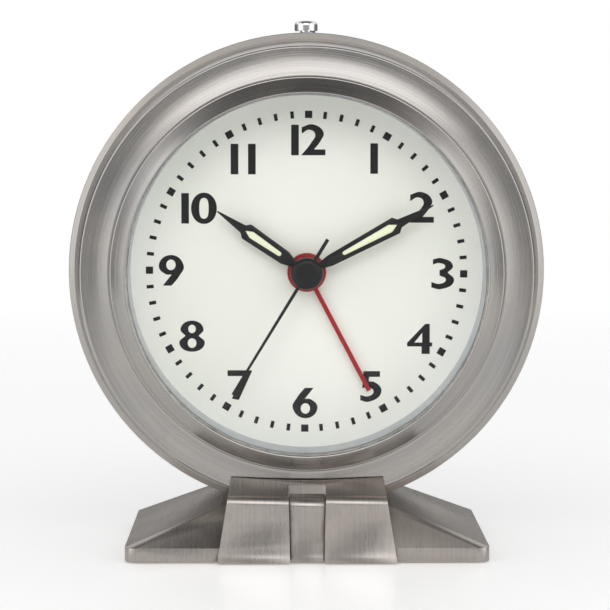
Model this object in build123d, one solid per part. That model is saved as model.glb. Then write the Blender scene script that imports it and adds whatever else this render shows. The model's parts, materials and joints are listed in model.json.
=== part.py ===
from build123d import *
import math
import os

# A desk alarm clock: a round metal case on a stepped metal foot, with its quartz movement inside.
#
# Millimetres, +Z up, the front of the clock towards -Y. The origin is on the floor, at the foot's centre.
# Pieces of the case and of the movement are drawn in the case's own frame: x to the right and y up as seen
# from the front, and z forwards, out of the dial, with its origin on the hands' axis. CASE places them.

# ---------------------------------------------------------------- driving dimensions, mm
RUNNING_GAP = 0.06           # radial gap of a part that turns or slides
TOUCH_GAP = 0.05             # gap of curved pieces that lie against each other
CUT = 1.0                    # how far a cutting tool runs past a face

# case
DRUM_RADIUS = 57.5
CASE_LIFT = 12.5             # lowest line of the drum above the floor
DRUM_WALL = 1.5
DRUM_REAR = -17.0            # rear edge of the drum, on the case's forward axis
DRUM_FRONT = 13.0            # front face of the drum's flange, on the same axis
DRUM_FLOOR = 1.0             # thickness of the drum's front disc
RIM_OVERHANG = 1.5           # rim outside the drum
RIM_THICKNESS = 2.6
RIM_FALL = 1.1               # the rim's face falls back towards its edge
RIM_ROUND = 0.3

# bezel, from the rim inwards
RIM_FACE_WIDTH = 2.1         # sloping face of the rim outside the bezel's foot
BEZEL_SIDE_TAPER = 1.7       # from the bezel's foot to its lip
BEZEL_LIP_RISE = 11.2        # lip above the drum's flange
LIP_ROUND = 0.45
CORNER_BULGE = 0.2
COVE_WIDTH = 6.9
COVE_RISE = 1.2
COVE_SAG = 0.3               # depth of the cove under its chord
STEP_WIDTH = 0.3             # shadow line between cove and inner ring
INNER_RING_RISE = 0.5        # ring's outer edge above the cove's end
INNER_RING_TILT = 3.1        # ring's inner edge above its outer edge
RING_CROWN = 0.12
INNER_RING_WIDTH = 4.3
BEZEL_LIP_DEPTH = 3.0        # depth of the opening's own wall
BEZEL_WALL = 2.0
BEZEL_CAVITY_DEPTH = 8.0

# dial, wall ring and crystal
DIAL_OVERLAP = 3.3           # dial's edge outside the opening
DIAL_THICKNESS = 0.6
CRYSTAL_OVERLAP = 1.9
CRYSTAL_THICKNESS = 1.5
WALL_RING_SETBACK = -0.1     # its bore inside the opening
WALL_RING_WALL = 1.4
WALL_RING_FOOT = 1.0         # height of the foot that clamps the dial

# foot
BASE_WIDTH = 89.0
BASE_REAR = 29.5             # rear edge of the foot behind the origin
PLINTH_TOP = 3.75
PLINTH_CORNER = 3.0
CORNER_LOSS = 2.0            # most that an inset takes off that corner
RIDGE_CORNER = 0.5
RIDGE_HALF_WIDTH = 21.3
RIDGE_INSET = 8.0            # ridge's ends inside the foot's front and rear edges
RIDGE_HEIGHT = 12.8
CASTING_WALL = 2.4
CASTING_LIFT = 0.35          # casting's lower edge above the floor
PAD_THICKNESS = 1.0
PLATE_THICKNESS = 1.2
PAD_INSET = 3.4

# pedestal
PEDESTAL_PROUD = 1.8         # in front of the plinth
PEDESTAL_HALF_TOP = 18.6
PEDESTAL_HALF_FLOOR = 21.9
PEDESTAL_REACH = 8.1         # its top above the drum's lowest line
PEDESTAL_SHELF_DROP = 4.0    # fall of its top towards the front
PEDESTAL_SHOULDER = 2.2
PEDESTAL_SHOULDER_SETBACK = 0.6
PEDESTAL_WAIST_HEIGHT = 10.9
PEDESTAL_WAIST_SETBACK = 1.3
PEDESTAL_FLARE = 0.3         # hollow of the lower face under its chord
PEDESTAL_THICKNESS = 6.6     # in front of the bezel's lip
BEZEL_GAP = 0.5
STRIP_HALF_TOP = 4.6
STRIP_HALF_FLOOR = 4.15
STRIP_SETBACK = 1.2
STRIP_DROP = 0.7             # strip's shelf below the pedestal's
STRIP_GAP = 0.2              # open line along each side of the strip
SADDLE_HALF_WIDTH = 17.5
SADDLE_REAR = 14.0

# hands' arbors, from the innermost outwards
SECONDS_ARBOR = 0.5
CANNON_WALL = 0.54
HOUR_WALL = 0.74
ALARM_WALL = 0.84
NECK_WALL = 1.04
NECK_PROUD = 0.3             # neck in front of the dial
HAND_THICKNESS = 0.45
HAND_PITCH = 1.5             # from one hand to the next
ALARM_HAND_CLEAR = 1.2       # alarm hand above the dial

# hands
HOUR_ANGLE = 304.5           # clockwise from twelve, degrees
MINUTE_ANGLE = 61.8
SECONDS_ANGLE = 211.5
ALARM_ANGLE = 152.2
HOUR_LENGTH = 26.7
HOUR_SHOULDER = 18.0         # where the body ends and the spear begins
HOUR_HALF_WIDTHS = (1.76, 2.08)  # of the body, at its heel and at its shoulders
HOUR_LUME = (7.7, 18.3)      # inner end and outer point of the luminous slot
HOUR_LUME_HALF_WIDTHS = (0.55, 0.88)
MINUTE_LENGTH = 35.2
MINUTE_SHOULDER = 24.8
MINUTE_HALF_WIDTHS = (1.4, 2.15)
MINUTE_LUME = (10.0, 25.1)
MINUTE_LUME_HALF_WIDTHS = (0.49, 1.0)
HAND_HEEL = 6.5
HAND_NECK_HALF_WIDTH = 0.8
SPEAR_HALF_WIDTH = 1.12
SPEAR_TIP_HALF_WIDTH = 0.15
LUME_POINT = 1.8
SECONDS_LENGTH = 35.0
SECONDS_TAIL = 9.8
SECONDS_HALF_WIDTHS = (0.45, 0.3)  # at its tail and at its tip
ALARM_LENGTH = 33.2
ALARM_HALF_WIDTH = 0.55
HAND_HUB = 3.7
ALARM_HUB = 4.8
CAP_RADIUS = 4.0
CAP_HEIGHT = 2.3
LUME_THICKNESS = 0.25

# gear train: teeth, and the distances between the arbors
PRESSURE_ANGLE = 25.0
TOOTH_SLACK = 0.05
ADDENDUM = 0.8
DEDENDUM = 1.15
ROTOR_TEETH = 10
SECONDS_PINION_TEETH = 10
THIRD_PINION_TEETH = 10
INTERMEDIATE_TEETH = (60, 12)
SECONDS_TEETH = 60
THIRD_TEETH = 75
CENTRE_TEETH = 80
CANNON_TEETH = 16
IDLER_TEETH = (48, 12)
HOUR_TEETH = 48
SETTING_TEETH = 16
ALARM_TEETH = 60
ALARM_SETTING_TEETH = 30
THIRD_DISTANCE = 13.26
THIRD_DIRECTION = 235.0
INTERMEDIATE_DISTANCE = 10.8
INTERMEDIATE_DIRECTION = 60.0
ROTOR_DISTANCE = 8.75
ROTOR_DIRECTION = 80.0
IDLER_DISTANCE = 9.6
IDLER_DIRECTION = 10.0
SETTING_DIRECTION = 40.0
ALARM_DISTANCE = 17.1
WHEEL_THICKNESS = 0.9
PINION_THICKNESS = 1.3
PINION_PROUD = 0.2           # pinion's face beyond the face of the wheel it drives
HUB_WALL = 0.5
WHEEL_CLEAR = (0.3, 0.7, 0.6, 0.5)  # before the alarm, hour, idler and centre wheels
LAYER_PITCH = (2.8, 2.4, 2.4)       # back from the centre wheel to the third, seconds and intermediate
SETTING_ARBOR = 1.0

# movement case
MOVEMENT_SIZE = 56.0
MOVEMENT_REAR = -8.0
MOVEMENT_WALL = 1.2
MOVEMENT_SPLIT = 5.6         # front face of the centre plate
CENTRE_PLATE = 1.0
BOSS_SIZE = 5.0
SCREW_INSET = 3.4
MOVEMENT_SCREW = 1.0
ROTOR_MAGNET = 2.8
STATOR_THICKNESS = 0.8
STATOR_GAP = 0.5
STATOR_WALL = 2.2
STATOR_BAR = 1.6
STATOR_END = 3.7             # core's end beyond the coil's
STATOR_DROP = 2.9            # core's lower arm below the coil
BOBBIN_TUBE = 1.6
BOBBIN_FLANGE = 1.0
ROTOR_PROUD = 0.8            # magnet beyond the stator, at each end
COIL_CENTRE = (-8.2, 22.0)
COIL_LENGTH = 16.4
COIL_RADIUS = 3.3
BOARD_SIZE = (40.0, 12.0)
BOARD_CENTRE = (0.0, -20.0)
BOARD_THICKNESS = 1.0
CAN_RADIUS = 1.0
CAN_LENGTH = 6.0
CAN_PLACE = (8.0, -2.0)      # on the board, from its centre
CHIP_SIZE = (6.0, 5.0)
CHIP_HEIGHT = 1.2
CHIP_PLACE = (-8.0, -1.0)

# rear cover and what is on it
COVER_THICKNESS = 2.0
COVER_SPIGOT = 2.5
COVER_ROUND = 1.2
KNOB_RADIUS = 7.5
KNOB_LENGTH = 12.0
KNOB_GAP = 0.3
KNOB_RIBS = 24
KNOB_FLUTE = 0.5
KNOB_ROUND = 1.2
POST_INSET = 5.0             # posts' circle inside the drum's wall
POST_RADIUS = 2.5
POST_SCREW = 1.2
POST_THREAD = 4.0            # length of a rear screw in its post
POST_BORE = 6.0
HEAD_RECESS = 1.2            # depth of the rear screws' counterbores
HEAD_HEIGHT = 1.1
BUZZER_INSET = 18.0          # buzzer's centre inside the drum's wall
BUZZER_RADIUS = 10.0
BUZZER_HEIGHT = 3.0
BUZZER_WALL = 1.5
SOUND_HOLE = 0.9
SOUND_RING = 3.0             # from one ring of sound holes to the next
SWITCH_DROP = 14.0           # alarm switch below the axis
SWITCH_TRAVEL = 5.0
SWITCH_STEM = (4.0, 3.0)     # slot's size beyond the travel, across and up
SWITCH_DEPTH = 2.5
SWITCH_WALL = 1.5
THUMB_OVERLAP = 1.0
THUMB_HEIGHT = 2.0
CELL_RADIUS = 7.25
CELL_LENGTH = 49.5
CELL_NUB_RADIUS = 2.75
CELL_NUB_LENGTH = 1.0
CELL_SHIFT = 0.5             # towards its positive contact
CONTACT_THICKNESS = 0.5
CONTACT_DIMPLE = 2.0
CONTACT_WIRE = 0.3
CONTACT_SPRING = 4.5         # radius of the spring's foot
CONTACT_CONE = -30           # the spring narrows towards the cell, degrees
BAY_CLEARANCE = 0.4          # between the bay and the movement
BAY_LENGTH = 54.0
BAY_WALL = 1.2
BAY_GAP = 0.35
DOOR_THICKNESS = 1.6
DOOR_MARGIN = 2.2
GRIP_RIBS = 7
GRIP_PITCH = 1.4
GRIP_INSET = 3.8             # first rib inside the door's end
GRIP_LENGTH = 8.0
GRIP_HEIGHT = 0.5
RAIL_WIDTH = 1.6
RAIL_LIP = 1.0
SLIDE_GAP = 0.2

# top button
BUTTON_REACH = 5.0           # its top above the drum
BUTTON_RADIUS = 2.9
BUTTON_HEIGHT = 2.5
BUTTON_TRAVEL = 1.4
BUTTON_STEM = 1.4
BUTTON_SETBACK = 1.5         # button's axis behind the foot's centre
BUSH_RADIUS = 4.2
BUSH_THREAD = 3.2
BUSH_PROUD = 0.9
BUSH_DEPTH = 4.5
BUSH_FLOOR = 1.0
SPRING_RADIUS = 2.15
SPRING_WIRE = 0.22
SPRING_TURNS = 5
SPRING_GAP = 0.1
SNOOZE_SIZE = (6.0, 2.0)     # the push switch's width and height
SWITCH_PLUNGER = 1.2

# fasteners of the foot
CASE_BOLT = 1.5
CASE_BOLT_PLACES = (-3.0, 9.0)
FOOT_SCREW = 1.1
FOOT_SCREW_INSET = (11.5, 9.5)  # inside the foot's edges, across and along
NUT_HEIGHT = 2.1
THREAD_GAP = 0.01
BOLT_HEAD = 2.0              # head's radius in shank radii
FOOT_SCREW_REACH = 1.0       # screw's tip above the plinth's top edge
SCREW_TIP_GAP = 0.2
BOSS_WALL = 0.6              # of a boss outside its screw's head
BOSS_RISE = 2.5              # top of the foot's bosses above the plinth's top edge

# ---------------------------------------------------------------- values that follow
AXIS_HEIGHT = CASE_LIFT + DRUM_RADIUS
CASE = Location(Plane(origin=(0, 0, AXIS_HEIGHT), x_dir=(1, 0, 0), z_dir=(0, -1, 0)))
STAND = (Align.CENTER, Align.CENTER, Align.MIN)
DRUM_INNER = DRUM_RADIUS - DRUM_WALL
RIM_RADIUS = DRUM_RADIUS + RIM_OVERHANG
BEZEL_FOOT_RADIUS = RIM_RADIUS - RIM_FACE_WIDTH
BEZEL_LIP_RADIUS = BEZEL_FOOT_RADIUS - BEZEL_SIDE_TAPER
COVE_INNER_RADIUS = BEZEL_LIP_RADIUS - COVE_WIDTH
OPENING_RADIUS = COVE_INNER_RADIUS - STEP_WIDTH - INNER_RING_WIDTH
DIAL_RADIUS = OPENING_RADIUS + DIAL_OVERLAP
CRYSTAL_RADIUS = OPENING_RADIUS + CRYSTAL_OVERLAP
WALL_RING_INNER = OPENING_RADIUS + WALL_RING_SETBACK
WALL_RING_OUTER = WALL_RING_INNER + WALL_RING_WALL
LIP_FRONT = DRUM_FRONT + BEZEL_LIP_RISE
COVE_END = LIP_FRONT + COVE_RISE
RING_EDGE = COVE_END + INNER_RING_RISE
BEZEL_FRONT = RING_EDGE + INNER_RING_TILT
CRYSTAL_FRONT = BEZEL_FRONT - BEZEL_LIP_DEPTH
CRYSTAL_REAR = CRYSTAL_FRONT - CRYSTAL_THICKNESS
DIAL_REAR = DRUM_FRONT
DIAL_FRONT = DIAL_REAR + DIAL_THICKNESS
BEZEL_BORE = DIAL_RADIUS + TOUCH_GAP
PEDESTAL_FRONT = LIP_FRONT + BEZEL_GAP + PEDESTAL_THICKNESS
PLINTH_FRONT = PEDESTAL_FRONT - PEDESTAL_PROUD
BASE_DEPTH = PLINTH_FRONT + BASE_REAR
BASE_CENTRE = (BASE_REAR - PLINTH_FRONT) / 2
FOOT_SCREW_X = BASE_WIDTH / 2 - FOOT_SCREW_INSET[0]
FOOT_SCREW_Y = BASE_DEPTH / 2 - FOOT_SCREW_INSET[1]
FOOT_SCREW_END = PLINTH_TOP + FOOT_SCREW_REACH
TONGUE_BACK = PEDESTAL_THICKNESS - PEDESTAL_FRONT
STRIP_BACK = TONGUE_BACK - PEDESTAL_PROUD
PEDESTAL_TOP = CASE_LIFT + PEDESTAL_REACH
NUT_SEAT = AXIS_HEIGHT - math.sqrt(DRUM_INNER**2 - (2 * CASE_BOLT) ** 2) + TOUCH_GAP
SADDLE_HEIGHT = AXIS_HEIGHT - math.sqrt(DRUM_RADIUS**2 - SADDLE_HALF_WIDTH**2)
CANNON_PIPE = SECONDS_ARBOR + RUNNING_GAP + CANNON_WALL
HOUR_PIPE = CANNON_PIPE + RUNNING_GAP + HOUR_WALL
ALARM_PIPE = HOUR_PIPE + RUNNING_GAP + ALARM_WALL
NECK_RADIUS = ALARM_PIPE + RUNNING_GAP + NECK_WALL
PAD_TOP = PAD_THICKNESS
PLATE_TOP = PAD_TOP + PLATE_THICKNESS
MOVEMENT_FRONT = DRUM_FRONT - DRUM_FLOOR
MOVEMENT_HALF = MOVEMENT_SIZE / 2
COVER_FACE = DRUM_REAR - COVER_THICKNESS
KNOB_START = COVER_FACE - KNOB_GAP
KNOB_END = KNOB_START - KNOB_LENGTH
ALARM_HAND = DIAL_FRONT + ALARM_HAND_CLEAR
HOUR_HAND = ALARM_HAND + HAND_PITCH
MINUTE_HAND = HOUR_HAND + HAND_PITCH
SECONDS_HAND = MINUTE_HAND + HAND_PITCH

# layers of the movement, front to back
ALARM_LAYER = MOVEMENT_FRONT - MOVEMENT_WALL - WHEEL_CLEAR[0] - WHEEL_THICKNESS
HOUR_LAYER = ALARM_LAYER - WHEEL_CLEAR[1] - WHEEL_THICKNESS
IDLER_LAYER = MOVEMENT_SPLIT + WHEEL_CLEAR[2]
CENTRE_LAYER = MOVEMENT_SPLIT - CENTRE_PLATE - WHEEL_CLEAR[3] - WHEEL_THICKNESS
THIRD_LAYER = CENTRE_LAYER - LAYER_PITCH[0]
SECONDS_LAYER = THIRD_LAYER - LAYER_PITCH[1]
INTERMEDIATE_LAYER = SECONDS_LAYER - LAYER_PITCH[2]
REAR_WALL = MOVEMENT_REAR + MOVEMENT_WALL
BOARD_FRONT = REAR_WALL + BOARD_THICKNESS
STATOR_REAR = SECONDS_LAYER
STATOR_FRONT = STATOR_REAR + STATOR_THICKNESS


def polar(distance, degrees, start=(0, 0)):
    """The point at a distance and direction from another one, seen from the front."""
    angle = math.radians(degrees)
    return (start[0] + distance * math.cos(angle), start[1] + distance * math.sin(angle))


AXIS = (0, 0)
THIRD = polar(THIRD_DISTANCE, THIRD_DIRECTION)
INTERMEDIATE = polar(INTERMEDIATE_DISTANCE, INTERMEDIATE_DIRECTION)
ROTOR = polar(ROTOR_DISTANCE, ROTOR_DIRECTION, INTERMEDIATE)
IDLER = polar(IDLER_DISTANCE, IDLER_DIRECTION)
SETTING = polar(IDLER_DISTANCE, SETTING_DIRECTION, IDLER)
ALARM_DIRECTION = 180 - math.degrees(math.asin(SETTING[1] / ALARM_DISTANCE))
ALARM_SETTING = polar(ALARM_DISTANCE, ALARM_DIRECTION)


# ---------------------------------------------------------------- shapes used everywhere
def disc(radius, low, high, at=AXIS):
    """A cylinder along z from low to high."""
    return Pos(at[0], at[1], low) * Cylinder(radius, high - low, align=STAND)


def tube(outer, inner, low, high, at=AXIS):
    return disc(outer, low, high, at) - disc(inner, low - CUT, high + CUT, at)


def block(low, high):
    """A box from its lowest corner to its highest one."""
    size = [b - a for a, b in zip(low, high)]
    centre = [(a + b) / 2 for a, b in zip(low, high)]
    return Pos(*centre) * Box(*size)


def slab(width, height, low, high, at=AXIS):
    """A plate square to z, centred on a point."""
    return Pos(at[0], at[1], low) * Box(width, height, high - low, align=STAND)


def turned(*points):
    """A solid of revolution about z, from (radius, z) points."""
    return revolve(make_face(Plane.XZ * Polyline(*points, close=True)), Axis.Z)


def flat(outline, low, high):
    """An outline in x and y, made solid from low to high."""
    return Pos(0, 0, low) * extrude(outline, high - low, dir=(0, 0, 1))


def corners(half_x, half_y):
    return [(x, y) for x in (-half_x, half_x) for y in (-half_y, half_y)]


def joined(solids):
    """Adds up touching or overlapping solids into one."""
    whole = solids[0]
    for solid in solids[1:]:
        whole = whole + solid
    return whole


def group(solids):
    """Separate solids that share a node."""
    return Compound(children=list(solids))


def save(name, shape, place=Location()):
    export_step(place * shape, f"parts/{name}.step")


# ---------------------------------------------------------------- gears
def module_for(distance, teeth, other_teeth):
    return 2 * distance / (teeth + other_teeth)


def gear_outline(teeth, module, phase):
    """Involute teeth with short tips. phase is the angle of the middle of one tooth, in radians."""
    pitch_radius = teeth * module / 2
    pressure = math.radians(PRESSURE_ANGLE)
    base_radius = pitch_radius * math.cos(pressure)
    tip_radius = pitch_radius + ADDENDUM * module
    root_radius = pitch_radius - DEDENDUM * module
    half_tooth = math.pi / teeth / 2 - TOOTH_SLACK / 2 / pitch_radius

    def half_angle(radius):
        roll = math.acos(min(1.0, base_radius / radius))
        return half_tooth + (math.tan(pressure) - pressure) - (math.tan(roll) - roll)

    foot_radius = max(base_radius, root_radius)
    flank = [(root_radius, half_angle(foot_radius))]
    if foot_radius > root_radius:
        flank.append((foot_radius, half_angle(foot_radius)))
    flank.append((pitch_radius, half_angle(pitch_radius)))
    flank.append((tip_radius, half_angle(tip_radius)))
    points = []
    for tooth in range(teeth):
        middle = phase + 2 * math.pi * tooth / teeth
        points += [(radius, middle - half) for radius, half in flank]
        points += [(radius, middle + half) for radius, half in reversed(flank)]
    return [(radius * math.cos(angle), radius * math.sin(angle)) for radius, angle in points]


def gear(teeth, module, phase, bore, low, high, at=AXIS):
    outline = make_face(Polyline(*gear_outline(teeth, module, phase), close=True)) - Circle(bore)
    return Pos(at[0], at[1], 0) * flat(outline, low, high)


def meshed_phase(phase, teeth, other_teeth, degrees):
    """The phase of a gear that meshes with one of a known phase, in the given direction from it."""
    direction = math.radians(degrees)
    share = ((direction - phase) / (2 * math.pi / teeth)) % 1
    return direction + math.pi - 2 * math.pi / other_teeth * (0.5 - share)


# ---------------------------------------------------------------- case
def bezel_outline(grow=0.0):
    """The bezel's outer side in (radius, z), from its foot to the opening, moved outwards by grow."""
    foot = (BEZEL_FOOT_RADIUS + grow, DRUM_FRONT)
    wall_end = (BEZEL_LIP_RADIUS + LIP_ROUND / 2 + grow, LIP_FRONT - LIP_ROUND)
    lip = (BEZEL_LIP_RADIUS - LIP_ROUND, LIP_FRONT + grow)
    cove_end = (COVE_INNER_RADIUS + grow, COVE_END + grow)
    chord = math.dist(lip, cove_end)
    lean = ((cove_end[1] - lip[1]) / chord, (lip[0] - cove_end[0]) / chord)
    middle = ((lip[0] + cove_end[0]) / 2, (lip[1] + cove_end[1]) / 2)
    cove_middle = (middle[0] - lean[0] * COVE_SAG, middle[1] - lean[1] * COVE_SAG)
    step = (COVE_INNER_RADIUS - STEP_WIDTH + grow, COVE_END + grow)
    ring_edge = (step[0], RING_EDGE - LIP_ROUND + grow)
    ring_start = (step[0] - LIP_ROUND, RING_EDGE + grow)
    ring_end = (OPENING_RADIUS + LIP_ROUND, BEZEL_FRONT + grow)
    ring_middle = ((ring_start[0] + ring_end[0]) / 2, (ring_start[1] + ring_end[1]) / 2 + RING_CROWN)
    opening = (OPENING_RADIUS, BEZEL_FRONT - LIP_ROUND)
    lines = [
        Line(foot, wall_end),
        round_corner(wall_end, lip),
        ThreePointArc(lip, cove_middle, cove_end),
        Line(cove_end, step),
        Line(step, ring_edge),
        round_corner(ring_edge, ring_start),
        ThreePointArc(ring_start, ring_middle, ring_end),
        round_corner(ring_end, opening),
    ]
    return lines, foot, opening


def round_corner(start, end):
    """A small arc between two points of a turned outline, bulging forwards by CORNER_BULGE of its chord."""
    across, along = start[1] - end[1], end[0] - start[0]
    bulge = math.copysign(CORNER_BULGE, along)
    middle = ((start[0] + end[0]) / 2 + across * bulge, (start[1] + end[1]) / 2 + along * bulge)
    return ThreePointArc(start, middle, end)


def revolved_outline(lines):
    return revolve(make_face(Plane.XZ * Wire(Curve() + lines)), Axis.Z)


def bezel_solid(grow, bore, floor):
    """The bezel without its rear cavity, bored to a radius up to the crystal's seat."""
    lines, foot, opening = bezel_outline(grow)
    seat = (OPENING_RADIUS, CRYSTAL_FRONT)
    lines += [
        Line(opening, seat),
        Line(seat, (bore, CRYSTAL_FRONT)),
        Line((bore, CRYSTAL_FRONT), (bore, floor)),
        Line((bore, floor), (foot[0], floor)),
    ]
    if floor < foot[1]:
        lines.append(Line((foot[0], floor), foot))
    return revolved_outline(lines)


def bezel_ring():
    ring = bezel_solid(0.0, CRYSTAL_RADIUS + TOUCH_GAP, DRUM_FRONT)
    ring -= disc(BEZEL_BORE, DRUM_FRONT - CUT, DIAL_FRONT + WALL_RING_FOOT)
    cavity_inner = BEZEL_BORE + BEZEL_WALL
    cavity_outer = BEZEL_LIP_RADIUS - BEZEL_WALL
    return ring - tube(cavity_outer, cavity_inner, DRUM_FRONT - CUT, DRUM_FRONT + BEZEL_CAVITY_DEPTH)


def case_drum():
    """A cup with its floor to the front, a flange round it and a spigot that locates the bezel."""
    rim_rear = DRUM_FRONT - RIM_THICKNESS
    rim = turned(
        (0, rim_rear),
        (RIM_RADIUS, rim_rear),
        (RIM_RADIUS, DRUM_FRONT - RIM_FALL),
        (BEZEL_FOOT_RADIUS, DRUM_FRONT),
        (0, DRUM_FRONT),
    )
    outer_edges = rim.edges().filter_by(GeomType.CIRCLE).group_by(SortBy.RADIUS)[-1]
    drum = disc(DRUM_RADIUS, DRUM_REAR, DRUM_FRONT) + fillet(outer_edges, RIM_ROUND)
    drum -= disc(DRUM_INNER, DRUM_REAR - CUT, MOVEMENT_FRONT)
    spigot_outer = BEZEL_LIP_RADIUS - BEZEL_WALL - TOUCH_GAP
    drum += tube(spigot_outer, spigot_outer - DRUM_WALL, MOVEMENT_FRONT, DRUM_FRONT + BEZEL_WALL)
    drum -= disc(NECK_RADIUS + TOUCH_GAP, MOVEMENT_FRONT - CUT, DRUM_FRONT + CUT)
    for place in movement_screw_places():
        drum -= disc(MOVEMENT_SCREW + TOUCH_GAP, MOVEMENT_FRONT - CUT, DRUM_FRONT + CUT, place)
    drum = CASE * drum
    drum -= upright(disc(BUSH_THREAD + TOUCH_GAP, DRUM_INNER - CUT, RIM_RADIUS))
    return drum - case_bolt_holes()


def rehaut_ring():
    """The smooth wall between dial and crystal, whose foot clamps the dial."""
    wall = tube(WALL_RING_OUTER, WALL_RING_INNER, DIAL_FRONT, CRYSTAL_REAR)
    return wall + tube(DIAL_RADIUS, WALL_RING_INNER, DIAL_FRONT, DIAL_FRONT + WALL_RING_FOOT)


def crystal():
    glass = disc(CRYSTAL_RADIUS, CRYSTAL_REAR, CRYSTAL_FRONT)
    return chamfer(glass.edges().filter_by(GeomType.CIRCLE), CRYSTAL_THICKNESS / 8)


def dial_plate():
    return tube(DIAL_RADIUS, NECK_RADIUS + TOUCH_GAP, DIAL_REAR, DIAL_FRONT)


def case_envelope(grow):
    """The outside of drum, rim and bezel, swollen by a gap, to cut what the case lies in."""
    body = disc(DRUM_RADIUS + grow, COVER_FACE - CUT, DRUM_FRONT)
    return body + disc(RIM_RADIUS + grow, DRUM_FRONT - RIM_THICKNESS - grow, DRUM_FRONT + grow)


def bezel_envelope():
    return bezel_solid(BEZEL_GAP, BEZEL_GAP, DRUM_FRONT - BEZEL_GAP)


def upright(shape):
    """Puts a piece drawn with z as height above the hands' axis onto the button's axis."""
    return Pos(0, BUTTON_SETBACK, AXIS_HEIGHT) * shape


def case_bolt_holes():
    return joined([disc(CASE_BOLT + TOUCH_GAP, 0, AXIS_HEIGHT / 2, (0, y)) for y in CASE_BOLT_PLACES])


# ---------------------------------------------------------------- foot
def foot_screw_places():
    return [(x, y + BASE_CENTRE) for x, y in corners(FOOT_SCREW_X, FOOT_SCREW_Y)]


def plinth_outline(inset):
    corner = PLINTH_CORNER - min(inset, CORNER_LOSS)
    return RectangleRounded(BASE_WIDTH - 2 * inset, BASE_DEPTH - 2 * inset, corner)


def plinth(inset, low, high):
    return Pos(0, BASE_CENTRE, low) * extrude(plinth_outline(inset), high - low)


def hip(inset, low, high):
    """The four sloping faces between the plinth and the ridge."""
    ridge_depth = BASE_DEPTH - 2 * (RIDGE_INSET + inset)
    upper = RectangleRounded(2 * (RIDGE_HALF_WIDTH - inset), ridge_depth, RIDGE_CORNER)
    ends = [Pos(0, 0, low) * plinth_outline(inset), Pos(0, 0, high) * upper]
    return Pos(0, BASE_CENTRE, 0) * loft(ends, ruled=True)


def pedestal_side_outline(drop):
    """The pedestal's side view in (y, z): sloping shelf, round shoulder, waist and flared toe."""
    front = -PEDESTAL_FRONT
    back = TONGUE_BACK
    top = PEDESTAL_TOP - drop
    shoulder_front = front + PEDESTAL_SHOULDER_SETBACK
    shelf_front = (shoulder_front + PEDESTAL_SHOULDER, top - PEDESTAL_SHELF_DROP)
    shoulder_end = (shoulder_front, shelf_front[1] - PEDESTAL_SHOULDER)
    turn = 1 - math.sqrt(0.5)
    shoulder_middle = (
        shoulder_front + turn * PEDESTAL_SHOULDER,
        shoulder_end[1] + (1 - turn) * PEDESTAL_SHOULDER,
    )
    waist = (front + PEDESTAL_WAIST_SETBACK, PEDESTAL_WAIST_HEIGHT)
    toe = (front, CASTING_LIFT)
    flare_middle = ((waist[0] + toe[0]) / 2 + PEDESTAL_FLARE, (waist[1] + toe[1]) / 2)
    lines = [
        Line((back, top), shelf_front),
        ThreePointArc(shelf_front, shoulder_middle, shoulder_end),
        Line(shoulder_end, waist),
        ThreePointArc(waist, flare_middle, toe),
        Line(toe, (back, CASTING_LIFT)),
        Line((back, CASTING_LIFT), (back, top)),
    ]
    return lines


def across(lines, half_width):
    """An outline in (y, z) made solid across x, both ways."""
    face = make_face(Plane.YZ * Wire(Curve() + lines))
    return extrude(face, half_width, both=True)


def front_prism(half_floor, half_top, back):
    """A tapered front view as tall as the pedestal, extruded from back to well in front of it."""
    points = [(-half_floor, 0), (-half_top, PEDESTAL_TOP), (half_top, PEDESTAL_TOP), (half_floor, 0)]
    face = make_face(Plane.XZ * Polyline(*points, close=True))
    return Pos(0, back, 0) * extrude(face, 2 * PEDESTAL_FRONT, dir=(0, -1, 0))


def pedestal_blank(setback, drop):
    body = across(pedestal_side_outline(drop), PEDESTAL_HALF_FLOOR + CUT)
    return Pos(0, setback, 0) * body


def pedestal_cradle():
    """The front pedestal and, behind it, the saddle that carries the case."""
    tongue = pedestal_blank(0, 0) & front_prism(PEDESTAL_HALF_FLOOR, PEDESTAL_HALF_TOP, 0)
    tongue -= front_prism(STRIP_HALF_FLOOR, STRIP_HALF_TOP, STRIP_BACK)
    low = (-SADDLE_HALF_WIDTH, TONGUE_BACK, PLINTH_TOP)
    cradle = tongue + block(low, (SADDLE_HALF_WIDTH, SADDLE_REAR, SADDLE_HEIGHT))
    cradle -= CASE * case_envelope(TOUCH_GAP)
    cradle -= CASE * bezel_envelope()
    return cradle - case_bolt_holes()


def pedestal_center_strip():
    """The narrow sunk band down the middle of the pedestal."""
    half_floor = STRIP_HALF_FLOOR - STRIP_GAP
    half_top = STRIP_HALF_TOP - STRIP_GAP
    strip = pedestal_blank(STRIP_SETBACK, STRIP_DROP) & front_prism(half_floor, half_top, STRIP_BACK)
    return strip - CASE * bezel_envelope()


def base_casting():
    """Plinth and hipped wings in one hollow casting, slotted for the cradle."""
    body = plinth(0, CASTING_LIFT, PLINTH_TOP) + hip(0, PLINTH_TOP, RIDGE_HEIGHT)
    body -= plinth(CASTING_WALL, 0, PLINTH_TOP)
    body -= hip(CASTING_WALL, PLINTH_TOP, RIDGE_HEIGHT - CASTING_WALL)
    body -= front_prism(PEDESTAL_HALF_FLOOR, PEDESTAL_HALF_TOP, TONGUE_BACK)
    low = (-SADDLE_HALF_WIDTH, -BASE_DEPTH, PLINTH_TOP)
    body -= block(low, (SADDLE_HALF_WIDTH, SADDLE_REAR, AXIS_HEIGHT))
    body -= CASE * case_envelope(TOUCH_GAP)
    body -= CASE * bezel_envelope()
    for x, y in foot_screw_places():
        body += disc(BOLT_HEAD * FOOT_SCREW + BOSS_WALL, PLATE_TOP, PLINTH_TOP + BOSS_RISE, (x, y))
        body -= disc(FOOT_SCREW + TOUCH_GAP, 0, FOOT_SCREW_END + SCREW_TIP_GAP, (x, y))
    return body


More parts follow.
